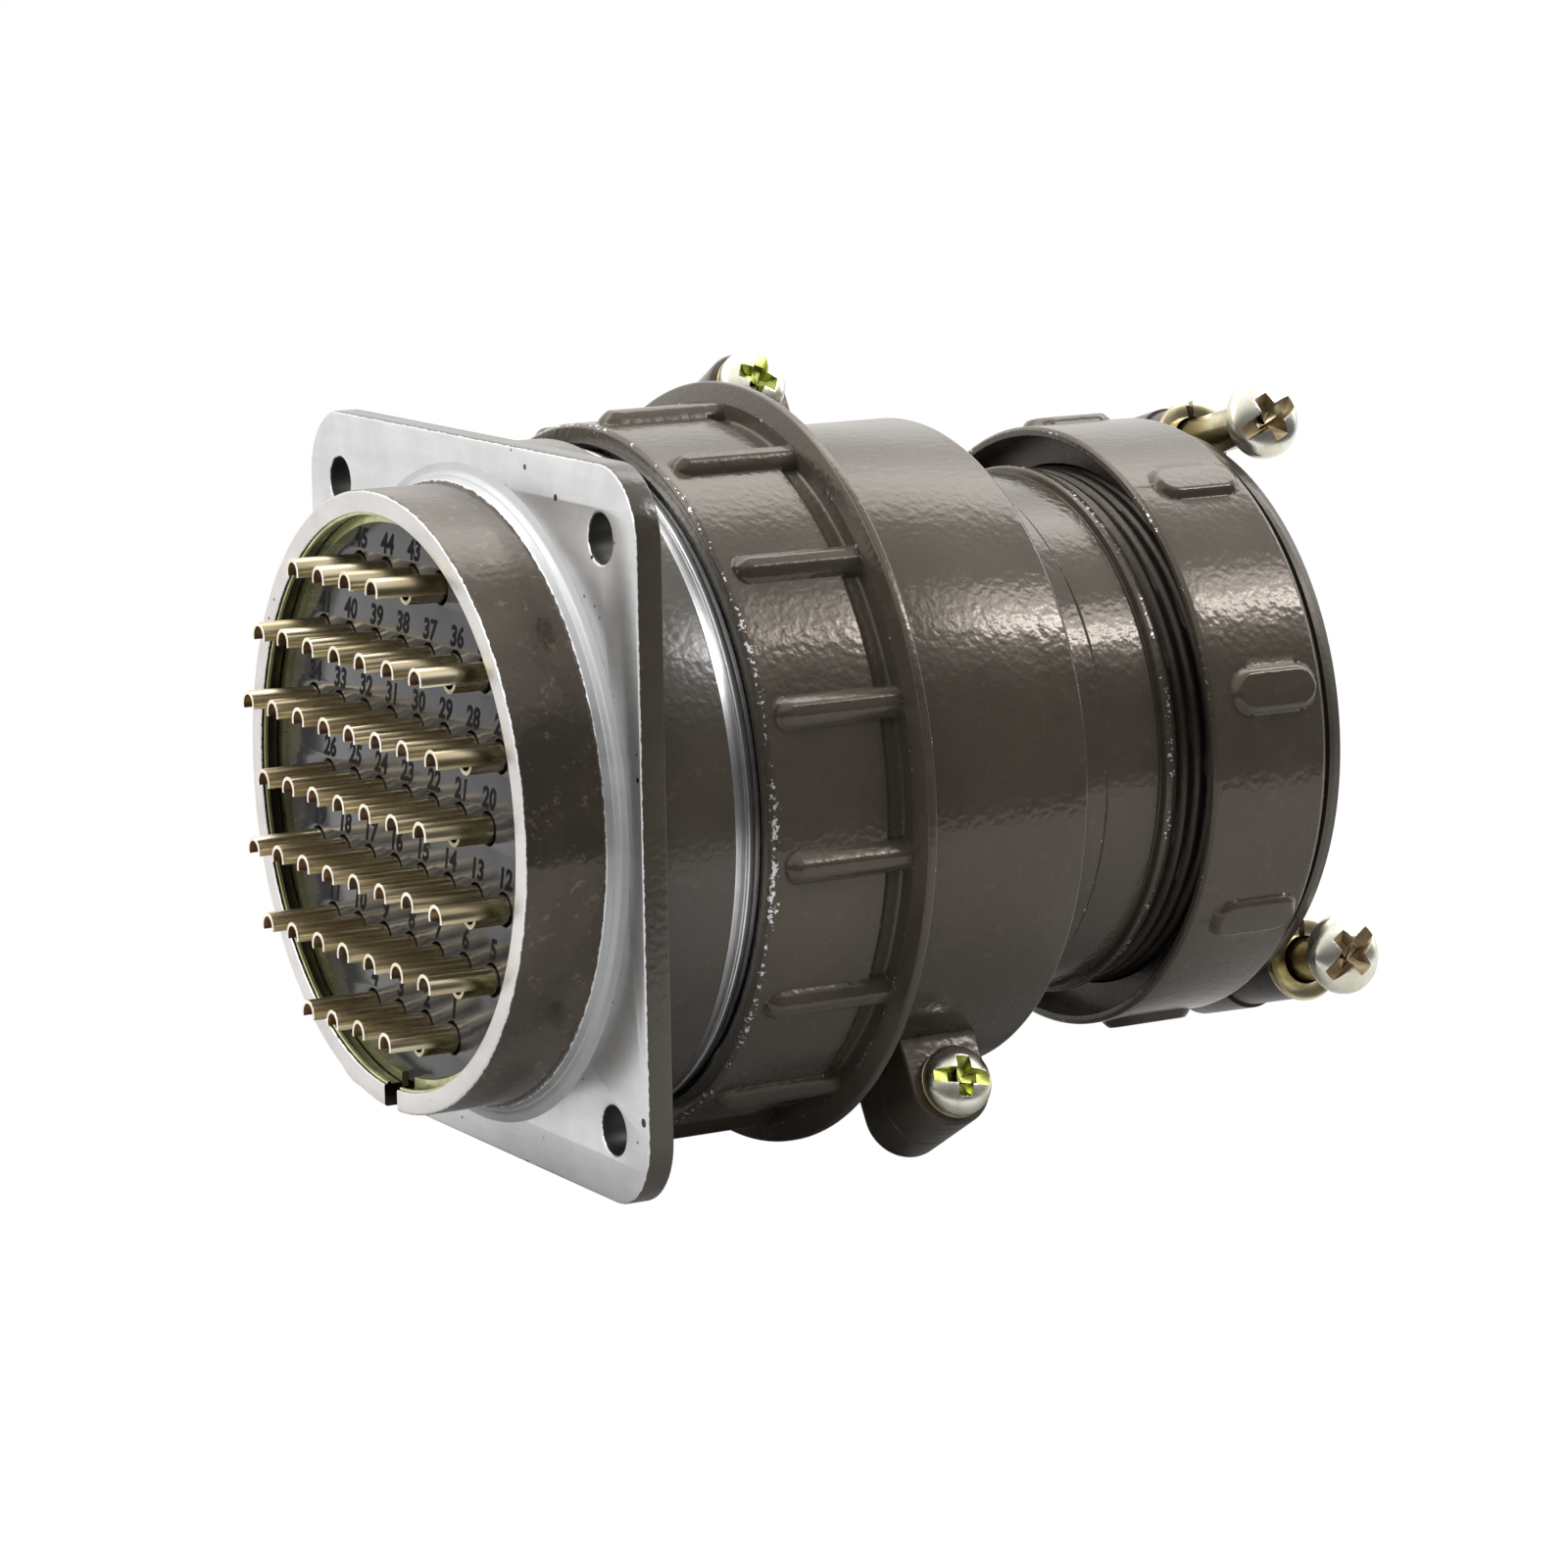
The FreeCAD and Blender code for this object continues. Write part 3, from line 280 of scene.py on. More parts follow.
class ShapeSettings(bpy.types.PropertyGroup):
    nut_ribs: IntProperty(
        name="Coupling nut ribs", description="Grip ribs round the coupling nut",
        default=15, min=3, max=60)
    rear_ribs: IntProperty(
        name="Rear nut ribs", description="Closed grip ribs round the rear nut",
        default=8, min=3, max=60)
    rib_flank: FloatProperty(
        name="Rib flank", description="Width of a rib's rounded flank",
        default=1.2 * MM, min=0.1 * MM, unit="LENGTH")
    contact_lean: FloatProperty(
        name="Contact lean", description="How far a solder contact may lean",
        default=math.radians(1.1), min=0.0, subtype="ANGLE")
    numeral_size: FloatProperty(
        name="Numeral size", description="Type size of the contact numbers",
        default=2.6 * MM, min=0.5 * MM, unit="LENGTH")


class FinishSettings(bpy.types.PropertyGroup):
    paint: FloatVectorProperty(
        name="Shell paint", description="Grey-brown paint of the shells",
        default=(0.056, 0.047, 0.036), subtype="COLOR", size=3, min=0.0, max=1.0)
    black_paint: FloatVectorProperty(
        name="Clamp paint", description="Black paint of the cable clamp",
        default=(0.050, 0.045, 0.038), subtype="COLOR", size=3, min=0.0, max=1.0)
    bare_metal: FloatVectorProperty(
        name="Bare metal", description="Bare aluminium of the flange and ring",
        default=(0.71, 0.72, 0.73), subtype="COLOR", size=3, min=0.0, max=1.0)
    brass: FloatVectorProperty(
        name="Contact brass", description="Brass of the solder contacts",
        default=(0.62, 0.56, 0.40), subtype="COLOR", size=3, min=0.0, max=1.0)
    zinc: FloatVectorProperty(
        name="Zinc plate", description="Bright zinc of the screws",
        default=(0.78, 0.77, 0.70), subtype="COLOR", size=3, min=0.0, max=1.0)
    moulding: FloatVectorProperty(
        name="Insert moulding", description="Dark moulding of the inserts",
        default=(0.042, 0.042, 0.048), subtype="COLOR", size=3, min=0.0, max=1.0)


class StageSettings(bpy.types.PropertyGroup):
    key_power: FloatProperty(
        name="Key light", description="Power of the long soft box above the camera",
        default=1.1, min=0.0, unit="POWER")
    backdrop: FloatProperty(
        name="Backdrop", description="Brightness of the backdrop behind the object",
        default=1.6, min=0.0)
    overhead: FloatProperty(
        name="Overhead", description="Brightness straight above the object",
        default=4.7, min=0.0)
    front: FloatProperty(
        name="Front", description="Brightness in front of the object",
        default=0.12, min=0.0)


def settings(group):
    """The values of one of the panel's groups: shape, finish or stage."""
    return getattr(bpy.context.scene, "connector_" + group)


# Mesh helpers

def rounded(points, steps=5):
    """A closed outline of (x, radius) points, with an arc at each point that gives a third number."""
    result = []
    count = len(points)
    for index, point in enumerate(points):
        radius = point[2] if len(point) > 2 else 0.0
        here = Vector(point[:2])
        if radius <= 0.0:
            result.append(tuple(here))
            continue
        before = Vector(points[index - 1][:2]) - here
        after = Vector(points[(index + 1) % count][:2]) - here
        half = before.angle(after) / 2
        reach = min(radius / math.tan(half), before.length * ARC_SHARE, after.length * ARC_SHARE)
        radius = reach * math.tan(half)
        middle = here + (before.normalized() + after.normalized()).normalized() * radius / math.sin(half)
        start = here + before.normalized() * reach - middle
        turn = start.angle_signed(here + after.normalized() * reach - middle)
        for step in range(steps + 1):
            spoke = start.copy()
            spoke.rotate(Matrix.Rotation(-turn * step / steps, 2))
            result.append(tuple(middle + spoke))
    return result


def refined(outline, start, end, step, least_radius):
    """Adds points to the stretches of an outline between two places along the axis."""
    result = []
    for here, after in zip(outline, outline[1:] + outline[:1]):
        result.append(here)
        low, high = sorted((here[0], after[0]))
        if high - low < step or min(here[1], after[1]) < least_radius:
            continue
        if low < start - NEARLY or high > end + NEARLY:
            continue
        parts = math.ceil((high - low) / step)
        for part in range(1, parts):
            share = part / parts
            result.append((here[0] + (after[0] - here[0]) * share,
                           here[1] + (after[1] - here[1]) * share))
    return result


def with_stations(outline, radius, stations):
    """Adds points to a nut's long outside; stations gives their places from where the stretch ends."""
    result = []
    for here, after in zip(outline, outline[1:] + outline[:1]):
        result.append(here)
        if after[0] - here[0] > LONG_STRETCH and here[1] > radius - 0.05:
            result += [(x, radius) for x in stations(after[0])]
    return result


def skin(shape, rings, full=False, ends=False):
    """Joins rings of points with faces; full joins the last to the first, ends closes both ends."""
    pairs = list(zip(rings[:-1], rings[1:]))
    if full:
        pairs.append((rings[-1], rings[0]))
    for first, second in pairs:
        for index in range(len(first)):
            after = (index + 1) % len(first)
            shape.faces.new((first[index], first[after], second[after], second[index]))
    if ends:
        shape.faces.new(rings[0])
        shape.faces.new(rings[-1][::-1])
    return shape


def at_angle(x, radius, angle):
    """The point at a radius and an angle round the X axis, measured from +Y towards +Z."""
    turn = math.radians(angle)
    return Vector((x, radius * math.cos(turn), radius * math.sin(turn))) * MM


def turned(outline, angles, shape=None, ends=False):
    """A bmesh turned from a closed outline. A shape function may move each (x, radius, angle)."""
    full = abs(angles[-1] - angles[0] - FULL_TURN) < NEARLY
    mesh = bmesh.new()
    rings = []
    for angle in angles[:-1] if full else angles:
        ring = []
        for x, radius in outline:
            if shape:
                x, radius = shape(x, radius, angle)
            ring.append(mesh.verts.new(at_angle(x, radius, angle)))
        rings.append(ring)
    return skin(mesh, rings, full, ends)


def close_up(shape):
    """Merges the doubles of a bmesh and turns its faces outwards."""
    bmesh.ops.remove_doubles(shape, verts=shape.verts, dist=DOUBLES * MM)
    bmesh.ops.recalc_face_normals(shape, faces=shape.faces)


def even_steps(count, start=0.0, end=FULL_TURN):
    """Numbers at even steps, both ends among them."""
    return [start + (end - start) * step / count for step in range(count + 1)]


def to_mesh(name, shape, merge=True):
    """Turns a bmesh into a mesh, closed up where merge is set."""
    if merge:
        close_up(shape)
    mesh = bpy.data.meshes.new(name)
    shape.to_mesh(mesh)
    shape.free()
    return mesh


def new_object(name, data):
    """Puts a mesh, curve, camera or lamp into the scene."""
    piece = bpy.data.objects.new(name, data)
    bpy.context.scene.collection.objects.link(piece)
    return piece


def turned_piece(name, outline, angles, shape=None, ends=False):
    """An object turned from a closed outline, closed up."""
    return new_object(name, to_mesh(name, turned(outline, angles, shape, ends)))


def evaluated_mesh(piece):
    """The mesh of an object with its modifiers, as a new mesh."""
    bpy.context.view_layer.update()
    depsgraph = bpy.context.evaluated_depsgraph_get()
    return bpy.data.meshes.new_from_object(piece.evaluated_get(depsgraph), depsgraph=depsgraph)


def curve_mesh(name, curve):
    """The mesh of a curve or text, which is deleted."""
    carrier = new_object(name, curve)
    mesh = evaluated_mesh(carrier)
    bpy.data.objects.remove(carrier)
    bpy.data.curves.remove(curve)
    return mesh


def apply_modifiers(piece):
    """Gives a piece the mesh that its modifiers make of it, and removes them."""
    mesh = evaluated_mesh(piece)
    piece.modifiers.clear()
    old = piece.data
    piece.data = mesh
    bpy.data.meshes.remove(old)


def cleaned(mesh):
    """Merges doubles and turns the faces of a mesh outwards."""
    shape = bmesh.new()
    shape.from_mesh(mesh)
    close_up(shape)
    shape.to_mesh(mesh)
    shape.free()


def joined(name, pieces):
    """One object from several, in the order given."""
    shape = bmesh.new()
    materials = []
    for piece in pieces:
        first = len(shape.faces)
        shape.from_mesh(piece.data)
        shape.faces.ensure_lookup_table()
        own = list(piece.data.materials)
        for face in shape.faces[first:]:
            material = own[face.material_index] if own else None
            if material and material not in materials:
                materials.append(material)
            face.material_index = materials.index(material) if material else 0
    mesh = bpy.data.meshes.new(name)
    shape.to_mesh(mesh)
    shape.free()
    for material in materials:
        mesh.materials.append(material)
    for piece in pieces:
        old = piece.data
        bpy.data.objects.remove(piece)
        if old.users == 0:
            bpy.data.meshes.remove(old)
    return new_object(name, mesh)


def smooth(mesh, angle):
    """Smooth shading, with sharp edges where faces meet at more than an angle."""
    mesh.polygons.foreach_set("use_smooth", [True] * len(mesh.polygons))
    mesh.set_sharp_from_angle(angle=math.radians(angle))


def paint(piece, materials, rule=None):
    """Gives a piece its materials; the rule picks one by a face's middle, radius and normal."""
    mesh = piece.data
    mesh.materials.clear()
    for material in materials:
        mesh.materials.append(material)
    if rule is None:
        mesh.polygons.foreach_set("material_index", [0] * len(mesh.polygons))
        return
    for face in mesh.polygons:
        middle = face.center / MM
        face.material_index = rule(middle, math.hypot(middle.y, middle.z), face.normal)


def place(piece, body, node, sharp=SHARP_EDGE):
    """Finishes a piece: it rides on its body and stands for its node."""
    smooth(piece.data, sharp)
    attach(piece, body)
    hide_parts(node)


def cut(piece, cutter):
    """Takes the cutter's shape out of a piece and deletes the cutter."""
    modifier = piece.modifiers.new("cut", "BOOLEAN")
    modifier.operation = "DIFFERENCE"
    modifier.solver = "EXACT"
    modifier.material_mode = "TRANSFER"
    modifier.object = cutter
    apply_modifiers(piece)
    mesh = cutter.data
    bpy.data.objects.remove(cutter)
    bpy.data.meshes.remove(mesh)


def block(name, low, high, matrix=None, narrow=1.0):
    """A box between two corners, for cutting; narrow is the size of its high end beside its low end."""
    shape = bmesh.new()
    rings = []
    for z, share in ((low[2], 1.0), (high[2], narrow)):
        corners = ((low[0], low[1]), (high[0], low[1]), (high[0], high[1]), (low[0], high[1]))
        rings.append([shape.verts.new(Vector((x * share, y * share, z)) * MM) for x, y in corners])
    skin(shape, rings, ends=True)
    if matrix:
        shape.transform(matrix)
    return new_object(name, to_mesh(name, shape))


def plate(name, outlines, low, high, bevel):
    """A plate across the axis: outlines of (+Y, +Z) points, between two places, edges bevelled."""
    curve = bpy.data.curves.new(name, "CURVE")
    curve.dimensions = "2D"
    curve.fill_mode = "BOTH"
    curve.extrude = (high - low) / 2 * MM - bevel * MM
    curve.bevel_depth = bevel * MM
    curve.bevel_resolution = 2
    curve.offset = -bevel * MM
    for outline in outlines:
        spline = curve.splines.new("POLY")
        spline.points.add(len(outline) - 1)
        for point, (across, up) in zip(spline.points, outline):
            point.co = (across * MM, up * MM, 0.0, 1.0)
        spline.use_cyclic_u = True
    mesh = curve_mesh(name, curve)
    mesh.transform(ACROSS @ Matrix.Translation((0, 0, (low + high) / 2 * MM)))
    cleaned(mesh)
    return new_object(name, mesh)


def circle(radius, centre=(0.0, 0.0), count=48):
    """Points round a circle."""
    return [(centre[0] + radius * math.cos(math.tau * step / count),
             centre[1] + radius * math.sin(math.tau * step / count)) for step in range(count)]


def rounded_square(side, corner, count=14):
    """Points round a square with round corners."""
    points = []
    reach = side / 2 - corner
    for quarter, (across, up) in enumerate(((1, 1), (-1, 1), (-1, -1), (1, -1))):
        for step in range(count + 1):
            turn = math.radians(90 * (quarter + step / count))
            points.append((across * reach + corner * math.cos(turn), up * reach + corner * math.sin(turn)))
    return points


# Plates across the axis: their first direction is +Y, their second +Z and their thickness +X.
ACROSS = Matrix(((0, 0, 1, 0), (1, 0, 0, 0), (0, 1, 0, 0), (0, 0, 0, 1)))


def tilted(angle):
    """Frame of the split pieces: X along the axis, Y towards a screw, Z along the screws."""
    return Matrix.Rotation(math.radians(angle), 4, "X")


# Node group helpers

def group_inputs(tree, inputs):
    """Adds the inputs of a group: (name, socket type, default)."""
    for name, kind, default in inputs:
        socket = tree.interface.new_socket(name, in_out="INPUT", socket_type="NodeSocket" + kind)
        if default is not None:
            socket.default_value = default


def feed(tree, sockets, values):
    """Links each named socket to another one, or sets it to a plain number or colour."""
    for name, value in values.items():
        if hasattr(value, "is_output"):
            tree.links.new(value, sockets[name])
        elif value is not None:
            sockets[name].default_value = value


def new_node(tree, kind, inputs=None, **attributes):
    """Adds a node with its attributes set and its inputs fed; gives its outputs."""
    node = tree.nodes.new(kind)
    for name, value in attributes.items():
        setattr(node, name, value)
    feed(tree, node.inputs, inputs or {})
    return node.outputs


def maths(tree, operation, *values):
    """One Math node; each value is a socket or a plain number."""
    return new_node(tree, "ShaderNodeMath", dict(enumerate(values)), operation=operation)[0]


def geometry_tree(name, inputs):
    """A geometry tree with named inputs, that puts out one mesh."""
    tree = bpy.data.node_groups.new(name, "GeometryNodeTree")
    tree.is_modifier = True
    group_inputs(tree, inputs)
    tree.interface.new_socket("Mesh", in_out="OUTPUT", socket_type="NodeSocketGeometry")
    return tree, new_node(tree, "NodeGroupInput")


def put_out(tree, mesh, material):
    """Ends a geometry tree: its mesh gets a material and goes out."""
    finished = new_node(tree, "GeometryNodeSetMaterial", {"Geometry": mesh, "Material": material})
    new_node(tree, "NodeGroupOutput", {0: finished[0]})
    return tree


def repeat_round_tree():
    """Turns copies of the mesh round the X axis and merges them."""
    tree, given = geometry_tree("repeat_round", [
        ("Sector", "Geometry", None),
        ("Count", "Int", 15),
        ("Merge distance", "Float", SECTOR_DOUBLES * MM),
        ("Finish", "Material", None),
    ])
    points = new_node(tree, "GeometryNodePoints", {"Count": given["Count"]})
    index = new_node(tree, "GeometryNodeInputIndex")
    share = maths(tree, "DIVIDE", index[0], given["Count"])
    rotation = new_node(tree, "ShaderNodeCombineXYZ", {"X": maths(tree, "MULTIPLY", share, math.tau)})
    copies = new_node(tree, "GeometryNodeInstanceOnPoints", {
        "Points": points[0], "Instance": given["Sector"], "Rotation": rotation[0]})
    real = new_node(tree, "GeometryNodeRealizeInstances", {0: copies[0]})
    merged = new_node(tree, "GeometryNodeMergeByDistance", {
        0: real[0], "Distance": given["Merge distance"]})
    return put_out(tree, merged[0], given["Finish"])


def run_tree(piece, tree, values):
    """Runs a geometry tree on a piece and keeps its result as a plain mesh."""
    modifier = piece.modifiers.new("geometry", "NODES")
    modifier.node_group = tree
    sockets = {item.name: item.identifier for item in tree.interface.items_tree
               if item.item_type == "SOCKET" and item.in_out == "INPUT"}
    for name, value in values.items():
        modifier[sockets[name]] = value
    piece.update_tag()
    apply_modifiers(piece)
    cleaned(piece.data)


def contact_rows_tree():
    """Sets a contact at each place of the rows, each one leaning a little its own way."""
    tree, given = geometry_tree("contact_rows", [
        ("Contact", "Geometry", None),
        ("Pitch", "Float", CONTACT_PITCH * MM),
        ("Row", "Float", CONTACT_ROW * MM),
        ("Lean", "Float", 0.02),
        ("Seed", "Int", 4),
        ("Finish", "Material", None),
    ])
    join = tree.nodes.new("GeometryNodeJoinGeometry")
    middle_row = (len(CONTACT_ROWS) - 1) / 2
    step = new_node(tree, "ShaderNodeCombineXYZ", {"Y": given["Pitch"]})
    for row, count in enumerate(CONTACT_ROWS):
        start = new_node(tree, "ShaderNodeCombineXYZ", {
            "Y": maths(tree, "MULTIPLY", given["Pitch"], -(count - 1) / 2),
            "Z": maths(tree, "MULTIPLY", given["Row"], middle_row - row)})
        line = new_node(tree, "GeometryNodeMeshLine", {
            "Count": count, "Start Location": start[0], "Offset": step[0]})
        tree.links.new(line[0], join.inputs[0])
    least, most = [
        new_node(tree, "ShaderNodeVectorMath", {0: reach, "Scale": given["Lean"]}, operation="SCALE")[0]
        for reach in ((-2.5, -1.0, -1.0), (2.5, 1.0, 1.0))]
    lean = new_node(tree, "FunctionNodeRandomValue", {
        "Min": least, "Max": most, "Seed": given["Seed"]}, data_type="FLOAT_VECTOR")
    copies = new_node(tree, "GeometryNodeInstanceOnPoints", {
        "Points": join.outputs[0], "Instance": given["Contact"], "Rotation": lean[0]})
    real = new_node(tree, "GeometryNodeRealizeInstances", {0: copies[0]})
    return put_out(tree, real[0], given["Finish"])


# Shader groups

def shader_group(name, inputs, outputs):
    """A shader group with number inputs, and the numbers that it puts out."""
    tree = bpy.data.node_groups.new(name, "ShaderNodeTree")
    group_inputs(tree, [(label, "Float", default) for label, default in inputs.items()])
    for output in outputs:
        tree.interface.new_socket(output, in_out="OUTPUT", socket_type="NodeSocketFloat")
    return tree, new_node(tree, "NodeGroupInput"), tree.nodes.new("NodeGroupOutput").inputs


def spread(tree, value, low, high, to_low=0.0, to_high=1.0):
    """A smooth ramp from one range to another."""
    inputs = {"Value": value, "From Min": low, "From Max": high, "To Min": to_low, "To Max": to_high}
    return new_node(tree, "ShaderNodeMapRange", inputs, interpolation_type="SMOOTHSTEP")["Result"]


def noise(tree, vector, scale, detail=2.0, rough=0.5, stretch=None):
    """A noise texture, scaled in repeats per metre; stretch squeezes each direction."""
    if stretch:
        vector = new_node(tree, "ShaderNodeMapping", {"Vector": vector, "Scale": stretch})[0]
    inputs = {"Vector": vector, "Scale": scale, "Detail": detail, "Roughness": rough}
    return new_node(tree, "ShaderNodeTexNoise", inputs)["Fac"]


def object_place(tree):
    """The place on the piece itself, which patterns follow."""
    return new_node(tree, "ShaderNodeTexCoord")["Object"]


def along_and_out(tree, where):
    """The place along the axis and the distance from it."""
    split = new_node(tree, "ShaderNodeSeparateXYZ", {0: where})
    across = maths(tree, "MULTIPLY", split["Y"], split["Y"])
    both = maths(tree, "MULTIPLY_ADD", split["Z"], split["Z"], across)
    return split["X"], maths(tree, "SQRT", both)


def orange_peel_group():
    """Rounded bumps of sprayed paint: a height, and a slow change of tone."""
    tree, given, out = shader_group("orange_peel", {"Bump scale": 1500.0, "Tone scale": 70.0},
                                    ["Height", "Tone"])
    where = object_place(tree)
    fine = noise(tree, where, given["Bump scale"], 1.0, 0.4)
    wide = maths(tree, "MULTIPLY", given["Bump scale"], 0.36)
    coarse = noise(tree, where, wide, 1.0, 0.5)
    feed(tree, out, {"Height": maths(tree, "MULTIPLY_ADD", coarse, 0.8, fine),
                     "Tone": noise(tree, where, given["Tone scale"], 4.0, 0.6)})
    return tree


def rim_wear_group():
    """Mask of the paint chipped off along one turned edge, given by its place and radius."""
    tree, given, out = shader_group("rim_wear", {
        "Place": 0.0, "Radius": 0.03, "Reach": 0.0003, "Keep": 0.1}, ["Mask"])
    where = object_place(tree)
    along, outwards = along_and_out(tree, where)
    off_x = maths(tree, "SUBTRACT", along, given["Place"])
    off_r = maths(tree, "SUBTRACT", outwards, given["Radius"])
    squared = maths(tree, "MULTIPLY_ADD", off_x, off_x, maths(tree, "MULTIPLY", off_r, off_r))
    share = maths(tree, "DIVIDE", maths(tree, "SQRT", squared), given["Reach"])
    chips = noise(tree, where, 2300.0, 3.0, 0.6)
    slow = noise(tree, where, 190.0, 2.0, 0.5)
    loose = maths(tree, "MULTIPLY_ADD", slow, 0.6, maths(tree, "SUBTRACT", chips, 0.8))
    hold = maths(tree, "MULTIPLY_ADD", share, 0.12, given["Keep"])
    feed(tree, out, {"Mask": spread(tree, maths(tree, "SUBTRACT", loose, hold), -0.005, 0.02)})
    return tree


def paint_line_group():
    """Mask of the bare side of a ragged line round the axis, at which the paint ends."""
    tree, given, out = shader_group("paint_line", {"Place": 0.0, "Side": 1.0, "Ragged": 0.0002}, ["Mask"])
    where = object_place(tree)
    along = along_and_out(tree, where)[0]
    beyond = maths(tree, "MULTIPLY", maths(tree, "SUBTRACT", along, given["Place"]), given["Side"])
    flakes = maths(tree, "SUBTRACT", noise(tree, where, 1300.0, 4.0, 0.7), 0.5)
    edge = maths(tree, "MULTIPLY_ADD", flakes, given["Ragged"], beyond)
    feed(tree, out, {"Mask": spread(tree, edge, -0.03 * MM, 0.03 * MM)})
    return tree


def handled_metal_group():
    """Fine scratches and pits of handled bare metal: a height, a tone and a mask of dark pits."""
    tree, given, out = shader_group("handled_metal", {"Pits": 0.5, "Turned": 0.0},
                                    ["Height", "Tone", "Pit"])
    where = object_place(tree)
    streak = noise(tree, where, 260.0, 4.0, 0.65, (1.0, 0.35, 2.6))
    cross = noise(tree, where, 340.0, 4.0, 0.65, (1.0, 3.4, 0.5))
    grain = noise(tree, where, 2600.0, 3.0, 0.7)
    rings = noise(tree, where, 5200.0, 2.0, 0.6, (1.0, 0.0, 0.0))
    height = maths(tree, "MULTIPLY_ADD", grain, 0.5, maths(tree, "ADD", streak, cross))
    cloud = noise(tree, where, 130.0, 5.0, 0.62)
    spots = new_node(tree, "ShaderNodeTexVoronoi", {"Vector": where, "Scale": 420.0})["Distance"]
    thin = noise(tree, where, 150.0, 2.0, 0.5)
    size = maths(tree, "SUBTRACT", maths(tree, "MULTIPLY", thin, given["Pits"]), 0.22)
    feed(tree, out, {
        "Height": maths(tree, "MULTIPLY_ADD", rings, given["Turned"], height),
        "Tone": maths(tree, "MULTIPLY_ADD", streak, 0.35, maths(tree, "MULTIPLY", cloud, 0.65)),
        "Pit": spread(tree, maths(tree, "SUBTRACT", size, spots), 0.0, 0.03)})
    return tree


GROUP_MAKERS = {"orange_peel": orange_peel_group, "rim_wear": rim_wear_group,
                "paint_line": paint_line_group, "handled_metal": handled_metal_group}


def use_group(tree, name, **values):
    """Places a shared shader group in a material with its own values."""
    group = bpy.data.node_groups.get(name) or GROUP_MAKERS[name]()
    node = tree.nodes.new("ShaderNodeGroup")
    node.node_tree = group
    feed(tree, node.inputs, values)
    return node.outputs


def new_material(name):
    """A material, its tree and the inputs of its shader."""
    material = bpy.data.materials.new(name)
    material.use_nodes = True
    return material, material.node_tree, material.node_tree.nodes["Principled BSDF"].inputs


def mix_colour(tree, factor, first, second):
    """A colour mixed by a factor; each side is a socket or an (r, g, b, a)."""
    inputs = {"Factor": factor, 6: first, 7: second}
    return new_node(tree, "ShaderNodeMix", inputs, data_type="RGBA")[2]


def bump(tree, height, strength, distance):
    """Bumps from a height, with their full depth in millimetres."""
    inputs = {"Strength": strength, "Distance": distance * MM, "Height": height}
    return new_node(tree, "ShaderNodeBump", inputs)[0]


def shade(value, factor):
    """A colour made lighter or darker."""
    return tuple(min(1.0, part * factor) for part in value[:3]) + (1.0,)


def bare_colour(tree, wear, base, dark, light):
    """Colour of handled bare metal: clouds between two shades, and dark pits."""
    tone = spread(tree, wear["Tone"], 0.35, 0.65)
    metal = mix_colour(tree, tone, shade(base, dark), shade(base, light))
    return mix_colour(tree, wear["Pit"], metal, PIT_TONE)


def painted(name, base, rough, peel=0.4, lines=(), edges=(), metal_rough=0.42, turned_marks=0.0,
            mottle=0.11, pits=0.5, dust=0.1, sheen=PAINT_SHEEN):
    """Sprayed paint, bare metal beyond ragged lines, and metal chips along turned edges.

    A line is its place, its bare side and its raggedness; an edge is its place, its radius, how far
    the wear reaches from it and how well the paint keeps.
    """
    material, tree, shader = new_material(name)
    spray = use_group(tree, "orange_peel")
    tone = spread(tree, spray["Tone"], 0.3, 0.7)
    coat = mix_colour(tree, tone, shade(base, 1 - mottle), shade(base, 1 + mottle))
    specks = spread(tree, noise(tree, object_place(tree), 620.0, 5.0, 0.75), 0.57, 0.66)
    coat = mix_colour(tree, maths(tree, "MULTIPLY", specks, dust), coat, DUST_TONE)
    coat_rough = maths(tree, "MULTIPLY_ADD", tone, rough * mottle * 3, rough * (1 - mottle * 1.5))
    masks = [use_group(tree, "paint_line", Place=spot * MM, Side=side, Ragged=ragged * MM)["Mask"]
             for spot, side, ragged in lines]
    masks += [use_group(tree, "rim_wear", Place=spot * MM, Radius=radius * MM, Reach=reach * MM,
                        Keep=keep)["Mask"] for spot, radius, reach, keep in edges]
    if not masks:
        feed(tree, shader, {"Base Color": coat, "Roughness": coat_rough, "Specular Tint": sheen,
                            "Normal": bump(tree, spray["Height"], peel, PAINT_THICK)})
        return material
    bare_mask = masks[0]
    for mask in masks[1:]:
        bare_mask = maths(tree, "MAXIMUM", bare_mask, mask)
    wear = use_group(tree, "handled_metal", Pits=pits, Turned=turned_marks)
    metal = bare_colour(tree, wear, settings("finish").bare_metal, 0.9, 1.06)
    gain = maths(tree, "SUBTRACT", metal_rough, coat_rough)
    over = maths(tree, "SUBTRACT", 1.0, bare_mask)
    spray_height = maths(tree, "MULTIPLY", maths(tree, "ADD", spray["Height"], 0.5), over)
    scratch = maths(tree, "MULTIPLY", wear["Height"], maths(tree, "MULTIPLY", bare_mask, 0.16))
    feed(tree, shader, {
        "Base Color": mix_colour(tree, bare_mask, coat, metal),
        "Metallic": bare_mask,
        "Roughness": maths(tree, "MULTIPLY_ADD", gain, bare_mask, coat_rough),
        "Specular Tint": sheen,
        "Normal": bump(tree, maths(tree, "ADD", spray_height, scratch), peel, PAINT_THICK)})
    return material


